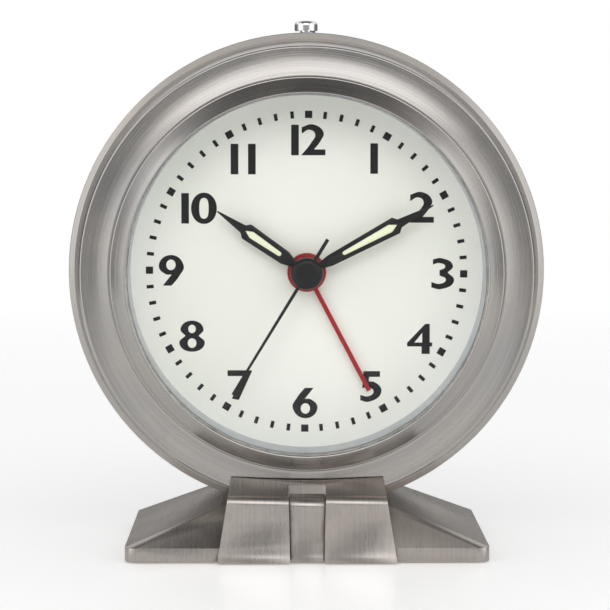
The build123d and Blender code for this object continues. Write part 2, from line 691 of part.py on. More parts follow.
def base_plate():
    """The sheet that closes the foot from below."""
    plate = plinth(CASTING_WALL + TOUCH_GAP, PAD_TOP, PLATE_TOP)
    front = TONGUE_BACK + TOUCH_GAP
    plate &= block((-BASE_WIDTH, front, 0), (BASE_WIDTH, BASE_DEPTH, PLATE_TOP))
    for x, y in foot_screw_places():
        plate -= disc(FOOT_SCREW + TOUCH_GAP, 0, PLATE_TOP + CUT, (x, y))
    return plate - case_bolt_holes()


def base_pad():
    """The soft pad that the clock stands on."""
    pad = plinth(PAD_INSET, 0, PAD_TOP)
    front = TONGUE_BACK + TOUCH_GAP
    pad &= block((-BASE_WIDTH, front, 0), (BASE_WIDTH, BASE_DEPTH, PAD_TOP))
    for x, y in foot_screw_places():
        pad -= disc(BOLT_HEAD * FOOT_SCREW + TOUCH_GAP, -CUT, PAD_TOP + CUT, (x, y))
    for y in CASE_BOLT_PLACES:
        pad -= disc(BOLT_HEAD * CASE_BOLT + TOUCH_GAP, -CUT, PAD_TOP + CUT, (0, y))
    return pad


def screw(shank, length, head_height):
    """A slotted pan head screw: its head below z = 0, its shank above."""
    head = BOLT_HEAD * shank
    body = disc(shank, 0, length) + disc(head, -head_height, 0)
    slot = slab(2 * head + CUT, head / 4, -head_height - CUT, -head_height / 2)
    return body - slot


def base_screws():
    pan = screw(FOOT_SCREW, FOOT_SCREW_END - PAD_TOP, PAD_TOP / 2)
    return group([Pos(x, y, PAD_TOP) * pan for x, y in foot_screw_places()])


def case_bolts():
    bolt = screw(CASE_BOLT, NUT_SEAT + 2 * CASE_BOLT - PAD_TOP, PAD_TOP / 2)
    return group([Pos(0, y, PAD_TOP) * bolt for y in CASE_BOLT_PLACES])


def case_nuts():
    blank = extrude(RegularPolygon(2 * CASE_BOLT, 6), NUT_HEIGHT)
    nut = blank - Cylinder(CASE_BOLT + THREAD_GAP, 4 * NUT_HEIGHT)
    return group([Pos(0, y, NUT_SEAT) * nut for y in CASE_BOLT_PLACES])


# ---------------------------------------------------------------- top button
BUSH_TOP = DRUM_RADIUS + BUSH_PROUD
WELL_FLOOR = DRUM_RADIUS - BUSH_DEPTH + BUSH_FLOOR
WELL_RADIUS = SPRING_RADIUS + SPRING_WIRE + SPRING_GAP
BUTTON_SEAT = DRUM_RADIUS + BUTTON_REACH - BUTTON_HEIGHT
SWITCH_TOP = MOVEMENT_HALF + SNOOZE_SIZE[1] + SWITCH_PLUNGER


def button_bush():
    """The threaded bush in the drum's top, with a well for the spring."""
    bush = disc(BUSH_RADIUS, DRUM_RADIUS, BUSH_TOP) + disc(BUSH_THREAD, DRUM_RADIUS - BUSH_DEPTH, BUSH_TOP)
    bush -= disc(WELL_RADIUS, WELL_FLOOR, BUSH_TOP + CUT)
    return upright(bush - disc(BUTTON_STEM + RUNNING_GAP, 0, WELL_FLOOR + CUT))


def alarm_button():
    """The domed button and its long stem, which reaches down to the switch on the movement."""
    head = disc(BUTTON_RADIUS, BUTTON_SEAT, BUTTON_SEAT + BUTTON_HEIGHT)
    head = fillet(head.edges().sort_by(Axis.Z)[-1], BUTTON_HEIGHT / 2)
    stem_end = SWITCH_TOP + BUTTON_TRAVEL + SPRING_GAP
    return upright(head + disc(BUTTON_STEM, stem_end, BUTTON_SEAT))


def button_spring():
    height = BUTTON_SEAT - WELL_FLOOR - 2 * SPRING_WIRE - 2 * TOUCH_GAP
    path = Helix(height / SPRING_TURNS, height, SPRING_RADIUS)
    section = Plane(origin=path @ 0, z_dir=path % 0) * Circle(SPRING_WIRE)
    coil = sweep(section, path=path, is_frenet=True)
    return upright(Pos(0, 0, WELL_FLOOR + SPRING_WIRE + TOUCH_GAP) * coil)


def snooze_switch():
    """The little push switch on top of the movement, under the button's stem."""
    width, height = SNOOZE_SIZE
    case = slab(width, width, MOVEMENT_HALF, MOVEMENT_HALF + height)
    return upright(case + disc(SWITCH_PLUNGER, MOVEMENT_HALF, SWITCH_TOP))


# ---------------------------------------------------------------- movement case
def movement_screw_places():
    return corners(MOVEMENT_HALF - SCREW_INSET, MOVEMENT_HALF - SCREW_INSET)


def movement_shell(low, high, wall_low, wall_high):
    """A square tray with corner bosses: an outer wall from low to high and a closed face."""
    inner = MOVEMENT_SIZE - 2 * MOVEMENT_WALL
    shell = slab(MOVEMENT_SIZE, MOVEMENT_SIZE, low, high) - slab(inner, inner, low - CUT, high + CUT)
    shell += slab(MOVEMENT_SIZE, MOVEMENT_SIZE, wall_low, wall_high)
    for place in movement_screw_places():
        shell += slab(BOSS_SIZE, BOSS_SIZE, low, high, place)
        shell -= disc(MOVEMENT_SCREW + TOUCH_GAP, low - CUT, high + CUT, place)
    return shell


def pivot_hole(radius, at):
    return disc(radius + RUNNING_GAP, -AXIS_HEIGHT, AXIS_HEIGHT, at)


def movement_front_housing():
    shell = movement_shell(MOVEMENT_SPLIT, MOVEMENT_FRONT, MOVEMENT_FRONT - MOVEMENT_WALL, MOVEMENT_FRONT)
    shell += disc(NECK_RADIUS, MOVEMENT_FRONT, DIAL_FRONT + NECK_PROUD)
    shell -= pivot_hole(ALARM_PIPE, AXIS)
    for at in (SETTING, ALARM_SETTING):
        shell -= disc(SETTING_ARBOR + RUNNING_GAP, MOVEMENT_SPLIT, MOVEMENT_FRONT - MOVEMENT_WALL / 2, at)
    return shell


def movement_center_plate():
    """The plate between the two trays, with the stud that the idler turns on."""
    plate = slab(MOVEMENT_SIZE, MOVEMENT_SIZE, MOVEMENT_SPLIT - CENTRE_PLATE, MOVEMENT_SPLIT)
    for place in movement_screw_places():
        plate -= pivot_hole(MOVEMENT_SCREW, place)
    for radius, at in ((CANNON_PIPE, AXIS), (SETTING_ARBOR, SETTING), (SETTING_ARBOR, ALARM_SETTING)):
        plate -= pivot_hole(radius, at)
    plate -= pivot_hole(SECONDS_ARBOR, THIRD)
    return plate + disc(SECONDS_ARBOR, MOVEMENT_SPLIT, HOUR_LAYER + PINION_THICKNESS, IDLER)


def movement_rear_housing():
    """The rear tray, with the studs that the rotor and the intermediate wheel turn on."""
    shell = movement_shell(MOVEMENT_REAR, MOVEMENT_SPLIT - CENTRE_PLATE, MOVEMENT_REAR, REAR_WALL)
    for radius, at in ((SETTING_ARBOR, SETTING), (SETTING_ARBOR, ALARM_SETTING)):
        shell -= pivot_hole(radius, at)
    for at in (AXIS, THIRD):
        shell -= disc(SECONDS_ARBOR + RUNNING_GAP, REAR_WALL - MOVEMENT_WALL / 2, REAR_WALL + CUT, at)
    shell += disc(SECONDS_ARBOR, REAR_WALL, SECONDS_LAYER + PINION_THICKNESS, INTERMEDIATE)
    return shell + disc(SECONDS_ARBOR, REAR_WALL, STATOR_FRONT + 2 * ROTOR_PROUD, ROTOR)


def movement_screws():
    shank_end = MOVEMENT_FRONT + DRUM_FLOOR - SCREW_TIP_GAP
    pan = screw(MOVEMENT_SCREW, shank_end - MOVEMENT_REAR, MOVEMENT_SCREW)
    return group([Pos(x, y, MOVEMENT_REAR) * pan for x, y in movement_screw_places()])


def circuit_board():
    return slab(*BOARD_SIZE, REAR_WALL, BOARD_FRONT, BOARD_CENTRE)


def quartz_can():
    """The crystal's little metal can, lying on the board."""
    x, y = BOARD_CENTRE
    lying = Rot(0, 90, 0) * Cylinder(CAN_RADIUS, CAN_LENGTH)
    return Pos(x + CAN_PLACE[0], y + CAN_PLACE[1], BOARD_FRONT + CAN_RADIUS) * lying


def timing_chip():
    x, y = BOARD_CENTRE
    place = (x + CHIP_PLACE[0], y + CHIP_PLACE[1])
    return slab(*CHIP_SIZE, BOARD_FRONT, BOARD_FRONT + CHIP_HEIGHT, place)


STATOR_HOLE = ROTOR_MAGNET + STATOR_GAP
STATOR_RING = STATOR_HOLE + STATOR_WALL


def stator_core():
    """The motor's iron: a ring round the rotor, closed through the coil."""
    x, y = COIL_CENTRE
    left = x - COIL_LENGTH / 2 - STATOR_END
    right = ROTOR[0] - STATOR_HOLE
    foot = y - COIL_RADIUS - STATOR_DROP
    iron = disc(STATOR_RING, STATOR_REAR, STATOR_FRONT, ROTOR)
    for low_y in (y - STATOR_BAR / 2, foot - STATOR_BAR):
        iron += block((left, low_y, STATOR_REAR), (right, low_y + STATOR_BAR, STATOR_FRONT))
    low = (left, foot - STATOR_BAR, STATOR_REAR)
    iron += block(low, (left + STATOR_BAR, y + STATOR_BAR / 2, STATOR_FRONT))
    return iron - disc(STATOR_HOLE, STATOR_REAR - CUT, STATOR_FRONT + CUT, ROTOR)


def along_coil(shape):
    """Puts a piece drawn along z onto the coil's axis, which runs across the movement."""
    return Pos(COIL_CENTRE[0], COIL_CENTRE[1], (STATOR_REAR + STATOR_FRONT) / 2) * Rot(0, 90, 0) * shape


def coil_bobbin():
    half = COIL_LENGTH / 2
    bobbin = disc(BOBBIN_TUBE, -half, half)
    for low in (-half, half - BOBBIN_FLANGE):
        bobbin += disc(COIL_RADIUS + BOBBIN_FLANGE / 2, low, low + BOBBIN_FLANGE)
    opening = Box(STATOR_THICKNESS + 2 * TOUCH_GAP, STATOR_BAR + 2 * TOUCH_GAP, 2 * COIL_LENGTH)
    return along_coil(bobbin - opening)


def coil_winding():
    half = COIL_LENGTH / 2 - BOBBIN_FLANGE
    return along_coil(tube(COIL_RADIUS, BOBBIN_TUBE, -half, half))


# ---------------------------------------------------------------- gear train
ROTOR_MODULE = module_for(ROTOR_DISTANCE, ROTOR_TEETH, INTERMEDIATE_TEETH[0])
SECONDS_MODULE = module_for(INTERMEDIATE_DISTANCE, INTERMEDIATE_TEETH[1], SECONDS_TEETH)
THIRD_MODULE = module_for(THIRD_DISTANCE, SECONDS_PINION_TEETH, THIRD_TEETH)
CENTRE_MODULE = module_for(THIRD_DISTANCE, THIRD_PINION_TEETH, CENTRE_TEETH)
CANNON_MODULE = module_for(IDLER_DISTANCE, CANNON_TEETH, IDLER_TEETH[0])
HOUR_MODULE = module_for(IDLER_DISTANCE, IDLER_TEETH[1], HOUR_TEETH)
ALARM_MODULE = module_for(ALARM_DISTANCE, ALARM_TEETH, ALARM_SETTING_TEETH)


def seconds_wheel():
    """The wheel, its pinion and the long arbor that carries the seconds hand."""
    phase = meshed_phase(0, INTERMEDIATE_TEETH[1], SECONDS_TEETH, INTERMEDIATE_DIRECTION + 180)
    bore = SECONDS_ARBOR / 2
    pinion_front = THIRD_LAYER + PINION_THICKNESS
    return joined([
        disc(SECONDS_ARBOR, REAR_WALL - MOVEMENT_WALL / 4, SECONDS_HAND + HAND_THICKNESS),
        gear(SECONDS_TEETH, SECONDS_MODULE, phase, bore, SECONDS_LAYER, SECONDS_LAYER + WHEEL_THICKNESS),
        gear(SECONDS_PINION_TEETH, THIRD_MODULE, 0, bore, THIRD_LAYER, pinion_front),
    ])


def intermediate_wheel():
    wheel_teeth, pinion_teeth = INTERMEDIATE_TEETH
    bore = SECONDS_ARBOR + RUNNING_GAP
    phase = meshed_phase(0, ROTOR_TEETH, wheel_teeth, ROTOR_DIRECTION + 180)
    wheel_front = INTERMEDIATE_LAYER + WHEEL_THICKNESS
    wheel = gear(wheel_teeth, ROTOR_MODULE, phase, bore, INTERMEDIATE_LAYER, wheel_front, INTERMEDIATE)
    front = SECONDS_LAYER + PINION_THICKNESS
    wheel += gear(pinion_teeth, SECONDS_MODULE, 0, bore, SECONDS_LAYER, front, INTERMEDIATE)
    return wheel + tube(bore + HUB_WALL, bore, INTERMEDIATE_LAYER, front, INTERMEDIATE)


def rotor():
    """The motor's magnet with its pinion."""
    bore = SECONDS_ARBOR + RUNNING_GAP
    low = INTERMEDIATE_LAYER - PINION_PROUD
    magnet_low = STATOR_REAR - ROTOR_PROUD
    body = gear(ROTOR_TEETH, ROTOR_MODULE, 0, bore, low, low + PINION_THICKNESS, ROTOR)
    body += tube(bore + HUB_WALL / 2, bore, low, magnet_low, ROTOR)
    return body + tube(ROTOR_MAGNET, bore, magnet_low, STATOR_FRONT + ROTOR_PROUD, ROTOR)


def third_wheel():
    phase = meshed_phase(0, SECONDS_PINION_TEETH, THIRD_TEETH, THIRD_DIRECTION)
    bore = SECONDS_ARBOR / 2
    pinion_front = CENTRE_LAYER + PINION_THICKNESS - PINION_PROUD
    return joined([
        disc(SECONDS_ARBOR, REAR_WALL - MOVEMENT_WALL / 4, MOVEMENT_SPLIT - PINION_PROUD, THIRD),
        gear(THIRD_TEETH, THIRD_MODULE, phase, bore, THIRD_LAYER, THIRD_LAYER + WHEEL_THICKNESS, THIRD),
        gear(THIRD_PINION_TEETH, CENTRE_MODULE, 0, bore, CENTRE_LAYER, pinion_front, THIRD),
    ])


def centre_wheel():
    """Turns once an hour; its hub grips the cannon pinion's pipe as a friction clutch."""
    phase = meshed_phase(0, THIRD_PINION_TEETH, CENTRE_TEETH, THIRD_DIRECTION + 180)
    bore = CANNON_PIPE + RUNNING_GAP
    wheel = gear(CENTRE_TEETH, CENTRE_MODULE, phase, bore, CENTRE_LAYER, CENTRE_LAYER + WHEEL_THICKNESS)
    low = CENTRE_LAYER - HUB_WALL
    return wheel + tube(CANNON_PIPE + 2 * HUB_WALL, bore, low, CENTRE_LAYER + WHEEL_THICKNESS)


def cannon_pinion():
    """The pinion of the motion work and the pipe that carries the minute hand."""
    bore = SECONDS_ARBOR + RUNNING_GAP
    pipe = tube(CANNON_PIPE, bore, CENTRE_LAYER - PINION_PROUD, MINUTE_HAND + HAND_THICKNESS)
    low = IDLER_LAYER - PINION_PROUD
    return pipe + gear(CANNON_TEETH, CANNON_MODULE, 0, bore, low, low + PINION_THICKNESS)


def motion_idler():
    wheel_teeth, pinion_teeth = IDLER_TEETH
    bore = SECONDS_ARBOR + RUNNING_GAP
    phase = meshed_phase(0, CANNON_TEETH, wheel_teeth, IDLER_DIRECTION)
    low = HOUR_LAYER - PINION_PROUD
    high = low + PINION_THICKNESS
    idler = gear(wheel_teeth, CANNON_MODULE, phase, bore, IDLER_LAYER, IDLER_LAYER + WHEEL_THICKNESS, IDLER)
    idler += gear(pinion_teeth, HOUR_MODULE, 0, bore, low, high, IDLER)
    return idler + tube(bore + HUB_WALL, bore, IDLER_LAYER - PINION_PROUD, high, IDLER)


def hour_wheel():
    bore = CANNON_PIPE + RUNNING_GAP
    phase = meshed_phase(0, IDLER_TEETH[1], HOUR_TEETH, IDLER_DIRECTION + 180)
    wheel = gear(HOUR_TEETH, HOUR_MODULE, phase, bore, HOUR_LAYER, HOUR_LAYER + WHEEL_THICKNESS)
    return wheel + tube(HOUR_PIPE, bore, HOUR_LAYER, HOUR_HAND + HAND_THICKNESS)


def alarm_wheel():
    bore = HOUR_PIPE + RUNNING_GAP
    phase = meshed_phase(0, ALARM_SETTING_TEETH, ALARM_TEETH, ALARM_DIRECTION + 180)
    wheel = gear(ALARM_TEETH, ALARM_MODULE, phase, bore, ALARM_LAYER, ALARM_LAYER + WHEEL_THICKNESS)
    return wheel + tube(ALARM_PIPE, bore, ALARM_LAYER, ALARM_HAND + HAND_THICKNESS)


def setting_arbor(at, teeth, module, phase, layer):
    """A knob's arbor, with its pinion inside the movement and its end in the knob."""
    arbor_end = MOVEMENT_FRONT - 3 * MOVEMENT_WALL / 4
    arbor = disc(SETTING_ARBOR, KNOB_START - KNOB_LENGTH / 2, arbor_end, at)
    pinion_end = layer + PINION_THICKNESS - PINION_PROUD
    return arbor + gear(teeth, module, phase, SETTING_ARBOR / 2, layer, pinion_end, at)


def time_setting_arbor():
    wheel_teeth = IDLER_TEETH[0]
    wheel_phase = meshed_phase(0, CANNON_TEETH, wheel_teeth, IDLER_DIRECTION)
    phase = meshed_phase(wheel_phase, wheel_teeth, SETTING_TEETH, SETTING_DIRECTION)
    return setting_arbor(SETTING, SETTING_TEETH, CANNON_MODULE, phase, IDLER_LAYER)


def alarm_setting_arbor():
    return setting_arbor(ALARM_SETTING, ALARM_SETTING_TEETH, ALARM_MODULE, 0, ALARM_LAYER)


def knob(at):
    """A ribbed knob with a domed end, pressed on its arbor."""
    body = disc(KNOB_RADIUS, KNOB_END, KNOB_START)
    body = fillet(body.edges().filter_by(GeomType.CIRCLE).sort_by(Axis.Z)[0], KNOB_ROUND)
    flute = disc(KNOB_FLUTE, KNOB_END - CUT, KNOB_START + CUT)
    for rib in range(KNOB_RIBS):
        body -= Pos(*polar(KNOB_RADIUS + KNOB_FLUTE / 3, rib * 360 / KNOB_RIBS), 0) * flute
    body -= disc(SETTING_ARBOR, KNOB_START - KNOB_LENGTH / 2, KNOB_START + CUT)
    return Pos(at[0], at[1], 0) * body


# ---------------------------------------------------------------- hands
def turned_hand(shape, angle):
    """Turns a hand drawn pointing up to a clock angle."""
    return Rot(0, 0, -angle) * shape


def baton_outline(length, shoulder, half_widths):
    """A narrow neck, a body that widens to its shoulders, and a spear."""
    heel_half, shoulder_half = half_widths
    side = [
        (HAND_NECK_HALF_WIDTH, 0),
        (HAND_NECK_HALF_WIDTH, HAND_HUB),
        (heel_half, HAND_HEEL),
        (shoulder_half, shoulder),
        (SPEAR_HALF_WIDTH, shoulder + shoulder_half - SPEAR_HALF_WIDTH),
        (SPEAR_TIP_HALF_WIDTH, length),
    ]
    return side + [(-x, y) for x, y in reversed(side)]


def lume_outline(reach, half_widths):
    """The slot in a hand's body: pointed at its outer end, narrow and round at its inner one."""
    inner, outer = reach
    narrow, wide = half_widths
    lines = [
        Line((-narrow, inner + narrow), (-wide, outer - LUME_POINT)),
        Line((-wide, outer - LUME_POINT), (0, outer)),
        Line((0, outer), (wide, outer - LUME_POINT)),
        Line((wide, outer - LUME_POINT), (narrow, inner + narrow)),
        ThreePointArc((narrow, inner + narrow), (0, inner), (-narrow, inner + narrow)),
    ]
    return make_face(Wire(Curve() + lines))


def baton_hand(outline, lume, pipe, level, angle):
    body = make_face(Polyline(*outline, close=True)) + Circle(HAND_HUB) - Circle(pipe) - lume
    return turned_hand(flat(body, level, level + HAND_THICKNESS), angle)


def baton_lume(lume, level, angle):
    """The luminous filling, set into the hand's slot."""
    low = level + (HAND_THICKNESS - LUME_THICKNESS) / 2
    return turned_hand(flat(lume, low, low + LUME_THICKNESS), angle)


def hour_hand():
    outline = baton_outline(HOUR_LENGTH, HOUR_SHOULDER, HOUR_HALF_WIDTHS)
    slot = lume_outline(HOUR_LUME, HOUR_LUME_HALF_WIDTHS)
    return baton_hand(outline, slot, HOUR_PIPE, HOUR_HAND, HOUR_ANGLE)


def hour_hand_lume():
    return baton_lume(lume_outline(HOUR_LUME, HOUR_LUME_HALF_WIDTHS), HOUR_HAND, HOUR_ANGLE)


def minute_hand():
    outline = baton_outline(MINUTE_LENGTH, MINUTE_SHOULDER, MINUTE_HALF_WIDTHS)
    slot = lume_outline(MINUTE_LUME, MINUTE_LUME_HALF_WIDTHS)
    return baton_hand(outline, slot, CANNON_PIPE, MINUTE_HAND, MINUTE_ANGLE)


def minute_hand_lume():
    return baton_lume(lume_outline(MINUTE_LUME, MINUTE_LUME_HALF_WIDTHS), MINUTE_HAND, MINUTE_ANGLE)


def seconds_hand():
    tail, tip = SECONDS_HALF_WIDTHS
    points = [(tail, -SECONDS_TAIL), (tip, SECONDS_LENGTH), (-tip, SECONDS_LENGTH), (-tail, -SECONDS_TAIL)]
    body = make_face(Polyline(*points, close=True)) + Circle(CAP_RADIUS * 0.8) - Circle(SECONDS_ARBOR)
    return turned_hand(flat(body, SECONDS_HAND, SECONDS_HAND + HAND_THICKNESS), SECONDS_ANGLE)


def center_cap():
    low = SECONDS_HAND + HAND_THICKNESS
    cap = disc(CAP_RADIUS, low, low + CAP_HEIGHT)
    return fillet(cap.edges().filter_by(GeomType.CIRCLE).sort_by(Axis.Z)[-1], CAP_HEIGHT * 0.7)


def alarm_hand():
    baton = Pos(0, ALARM_LENGTH / 2) * Rectangle(2 * ALARM_HALF_WIDTH, ALARM_LENGTH)
    body = baton + Circle(ALARM_HUB) - Circle(ALARM_PIPE)
    return turned_hand(flat(body, ALARM_HAND, ALARM_HAND + HAND_THICKNESS), ALARM_ANGLE)


# ---------------------------------------------------------------- rear cover
BAY_HEIGHT = 2 * (CELL_RADIUS + BAY_GAP)
BAY_CENTRE = (0, -(MOVEMENT_HALF + BAY_CLEARANCE + BAY_WALL + BAY_HEIGHT / 2))
CELL_DEPTH = COVER_FACE + BAY_GAP + CELL_RADIUS
BAY_FLOOR = CELL_DEPTH + CELL_RADIUS + BAY_GAP
DOOR_REAR = COVER_FACE - DOOR_THICKNESS
DOOR_WIDTH = BAY_LENGTH + 2 * DOOR_MARGIN
DOOR_HEIGHT = BAY_HEIGHT + 2 * DOOR_MARGIN
RAIL_REAR = DOOR_REAR - SLIDE_GAP - RAIL_LIP
SWITCH_CENTRE = (0, -SWITCH_DROP)
SWITCH_SLOT = (SWITCH_TRAVEL + SWITCH_STEM[0], SWITCH_STEM[1])
BUZZER_CENTRE = (0, DRUM_INNER - BUZZER_INSET)


def post_places():
    return [polar(DRUM_INNER - POST_INSET, 45 + 90 * quarter) for quarter in range(4)]


def sound_hole_places():
    """One hole in the middle and two rings of them."""
    places = [BUZZER_CENTRE]
    for ring in (1, 2):
        places += [polar(SOUND_RING * ring, 60 / ring * step, BUZZER_CENTRE) for step in range(6 * ring)]
    return places


def door_rails():
    """The two hooked rails that the battery door slides in."""
    rails = []
    for side in (-1, 1):
        edge = BAY_CENTRE[1] + side * (DOOR_HEIGHT / 2 + SLIDE_GAP)
        outer = edge + side * RAIL_WIDTH
        lip = edge - side * (SLIDE_GAP + DOOR_MARGIN / 2)
        half = DOOR_WIDTH / 2
        for y0, y1, front in ((edge, outer, COVER_FACE), (lip, outer, DOOR_REAR - SLIDE_GAP)):
            rails.append(block((-half, min(y0, y1), RAIL_REAR), (half, max(y0, y1), front)))
    return joined(rails)


def rear_cover():
    """The moulded back, with the battery bay, door rails, sound holes and holes for knobs and screws."""
    cover = disc(DRUM_RADIUS, COVER_FACE, DRUM_REAR)
    cover = fillet(cover.edges().filter_by(GeomType.CIRCLE).sort_by(Axis.Z)[0], COVER_ROUND)
    spigot = DRUM_INNER - TOUCH_GAP
    cover += tube(spigot, spigot - DRUM_WALL, DRUM_REAR, DRUM_REAR + COVER_SPIGOT)
    width, height = BAY_LENGTH + 2 * BAY_WALL, BAY_HEIGHT + 2 * BAY_WALL
    bay = slab(width, height, DRUM_REAR, BAY_FLOOR + BAY_WALL, BAY_CENTRE)
    cover += bay & disc(spigot, DRUM_REAR - CUT, BAY_FLOOR + 2 * BAY_WALL)
    cover -= slab(BAY_LENGTH, BAY_HEIGHT, COVER_FACE - CUT, BAY_FLOOR, BAY_CENTRE)
    cover += door_rails()
    for at in (SETTING, ALARM_SETTING):
        cover -= disc(SETTING_ARBOR + HUB_WALL, COVER_FACE - CUT, DRUM_REAR + CUT, at)
    for at in post_places():
        cover -= disc(POST_SCREW + TOUCH_GAP, COVER_FACE - CUT, DRUM_REAR + CUT, at)
        cover -= disc(BOLT_HEAD * POST_SCREW + TOUCH_GAP, COVER_FACE - CUT, COVER_FACE + HEAD_RECESS, at)
    for at in sound_hole_places():
        cover -= disc(SOUND_HOLE, COVER_FACE - CUT, DRUM_REAR + CUT, at)
    return cover - slab(*SWITCH_SLOT, COVER_FACE - CUT, DRUM_REAR + CUT, SWITCH_CENTRE)


def case_posts():
    """Pillars from the drum's front disc to the rear cover, tapped for its screws."""
    post = disc(POST_RADIUS, DRUM_REAR, MOVEMENT_FRONT)
    post -= disc(POST_SCREW, DRUM_REAR - CUT, DRUM_REAR + POST_BORE)
    return group([Pos(x, y, 0) * post for x, y in post_places()])


def rear_cover_screws():
    """Slotted screws whose heads lie sunk in the cover, out of the battery door's way."""
    pan = screw(POST_SCREW, COVER_THICKNESS - HEAD_RECESS + POST_THREAD, HEAD_HEIGHT)
    return group([Pos(x, y, COVER_FACE + HEAD_RECESS) * pan for x, y in post_places()])


def buzzer():
    """A round can against the cover, open towards its sound holes."""
    can = disc(BUZZER_RADIUS, DRUM_REAR, DRUM_REAR + BUZZER_HEIGHT, BUZZER_CENTRE)
    mouth_end = DRUM_REAR + BUZZER_HEIGHT / 2
    return can - disc(BUZZER_RADIUS - BUZZER_WALL, DRUM_REAR - CUT, mouth_end, BUZZER_CENTRE)


def alarm_switch_body():
    """The switch's case inside the cover, round its slot."""
    width, height = SWITCH_SLOT
    outer = (width + 2 * SWITCH_WALL, height + 2 * SWITCH_WALL)
    case = slab(*outer, DRUM_REAR, DRUM_REAR + SWITCH_DEPTH + SWITCH_WALL, SWITCH_CENTRE)
    return case - slab(width, height, DRUM_REAR - CUT, DRUM_REAR + SWITCH_DEPTH, SWITCH_CENTRE)


def alarm_switch_slider():
    """The on and off slider, drawn at its left end of the slot as seen from the front."""
    width, height = SWITCH_SLOT
    at = (SWITCH_CENTRE[0] - SWITCH_TRAVEL / 2, SWITCH_CENTRE[1])
    across = (width - SWITCH_TRAVEL - 2 * SLIDE_GAP, height - 2 * SLIDE_GAP)
    front = COVER_FACE - SLIDE_GAP
    stem = slab(*across, front, DRUM_REAR + SWITCH_DEPTH - SLIDE_GAP, at)
    thumb = slab(width - SWITCH_TRAVEL, height + 2 * THUMB_OVERLAP, front - THUMB_HEIGHT, front, at)
    return stem + chamfer(thumb.faces().sort_by(Axis.Z)[0].edges(), THUMB_HEIGHT / 4)


def battery_cell():
    """One AA cell, its positive end to the right."""
    half = CELL_LENGTH / 2
    cell = disc(CELL_RADIUS, -half, half) + disc(CELL_NUB_RADIUS, half, half + CELL_NUB_LENGTH)
    return Pos(CELL_SHIFT, BAY_CENTRE[1], CELL_DEPTH) * Rot(0, 90, 0) * cell


CELL_PLUS_END = CELL_SHIFT + CELL_LENGTH / 2 + CELL_NUB_LENGTH
CELL_MINUS_END = CELL_SHIFT - CELL_LENGTH / 2


def contact_plate(inner_x, outer_x):
    half = BAY_HEIGHT / 2 - SLIDE_GAP
    low = (min(inner_x, outer_x), BAY_CENTRE[1] - half, COVER_FACE + SLIDE_GAP)
    return block(low, (max(inner_x, outer_x), BAY_CENTRE[1] + half, BAY_FLOOR - SLIDE_GAP))


def battery_contact_plus():
    wall = BAY_LENGTH / 2
    dimple = disc(CONTACT_DIMPLE, 0, wall - CONTACT_THICKNESS - CELL_PLUS_END)
    dimple = Pos(CELL_PLUS_END, BAY_CENTRE[1], CELL_DEPTH) * Rot(0, 90, 0) * dimple
    return contact_plate(wall - CONTACT_THICKNESS, wall) + dimple


def battery_contact_minus():
    """The plate and the conical spring that presses on the cell."""
    wall = -BAY_LENGTH / 2
    start = wall + CONTACT_THICKNESS
    height = CELL_MINUS_END - start - 2 * CONTACT_WIRE
    path = Helix(height / 2, height, CONTACT_SPRING, cone_angle=CONTACT_CONE)
    section = Plane(origin=path @ 0, z_dir=path % 0) * Circle(CONTACT_WIRE)
    coil = sweep(section, path=path, is_frenet=True)
    coil = Pos(start + CONTACT_WIRE * 0.8, BAY_CENTRE[1], CELL_DEPTH) * Rot(0, 90, 0) * coil
    return contact_plate(wall, start) + coil


def battery_door():
    """The flat door over the battery, with a ribbed thumb grip."""
    rear, front = DOOR_REAR, COVER_FACE - SLIDE_GAP
    door = slab(DOOR_WIDTH, DOOR_HEIGHT, rear, front, BAY_CENTRE)
    for rib in range(GRIP_RIBS):
        x = DOOR_WIDTH / 2 - GRIP_INSET - rib * GRIP_PITCH
        door += slab(GRIP_PITCH / 2, GRIP_LENGTH, rear - GRIP_HEIGHT, rear, (x, BAY_CENTRE[1]))
    return door


# ---------------------------------------------------------------- everything
CASE_PIECES = {
    "bezel_ring": bezel_ring,
    "rehaut_ring": rehaut_ring,
    "crystal": crystal,
    "dial_plate": dial_plate,
    "movement_front_housing": movement_front_housing,
    "movement_center_plate": movement_center_plate,
    "movement_rear_housing": movement_rear_housing,
    "movement_screws": movement_screws,
    "circuit_board": circuit_board,
    "quartz_can": quartz_can,
    "timing_chip": timing_chip,
    "stator_core": stator_core,
    "coil_bobbin": coil_bobbin,
    "coil_winding": coil_winding,
    "rotor": rotor,
    "intermediate_wheel": intermediate_wheel,
    "seconds_wheel": seconds_wheel,
    "third_wheel": third_wheel,
    "centre_wheel": centre_wheel,
    "cannon_pinion": cannon_pinion,
    "motion_idler": motion_idler,
    "hour_wheel": hour_wheel,
    "alarm_wheel": alarm_wheel,
    "time_setting_arbor": time_setting_arbor,
    "alarm_setting_arbor": alarm_setting_arbor,
    "time_knob": lambda: knob(SETTING),
    "alarm_knob": lambda: knob(ALARM_SETTING),
    "hour_hand": hour_hand,
    "hour_hand_lume": hour_hand_lume,
    "minute_hand": minute_hand,
    "minute_hand_lume": minute_hand_lume,
    "seconds_hand": seconds_hand,
    "center_cap": center_cap,
    "alarm_hand": alarm_hand,
    "rear_cover": rear_cover,
    "case_posts": case_posts,
    "rear_cover_screws": rear_cover_screws,
    "buzzer": buzzer,
    "alarm_switch_body": alarm_switch_body,
    "alarm_switch_slider": alarm_switch_slider,
    "battery_cell": battery_cell,
    "battery_contact_plus": battery_contact_plus,
    "battery_contact_minus": battery_contact_minus,
    "battery_door": battery_door,
}
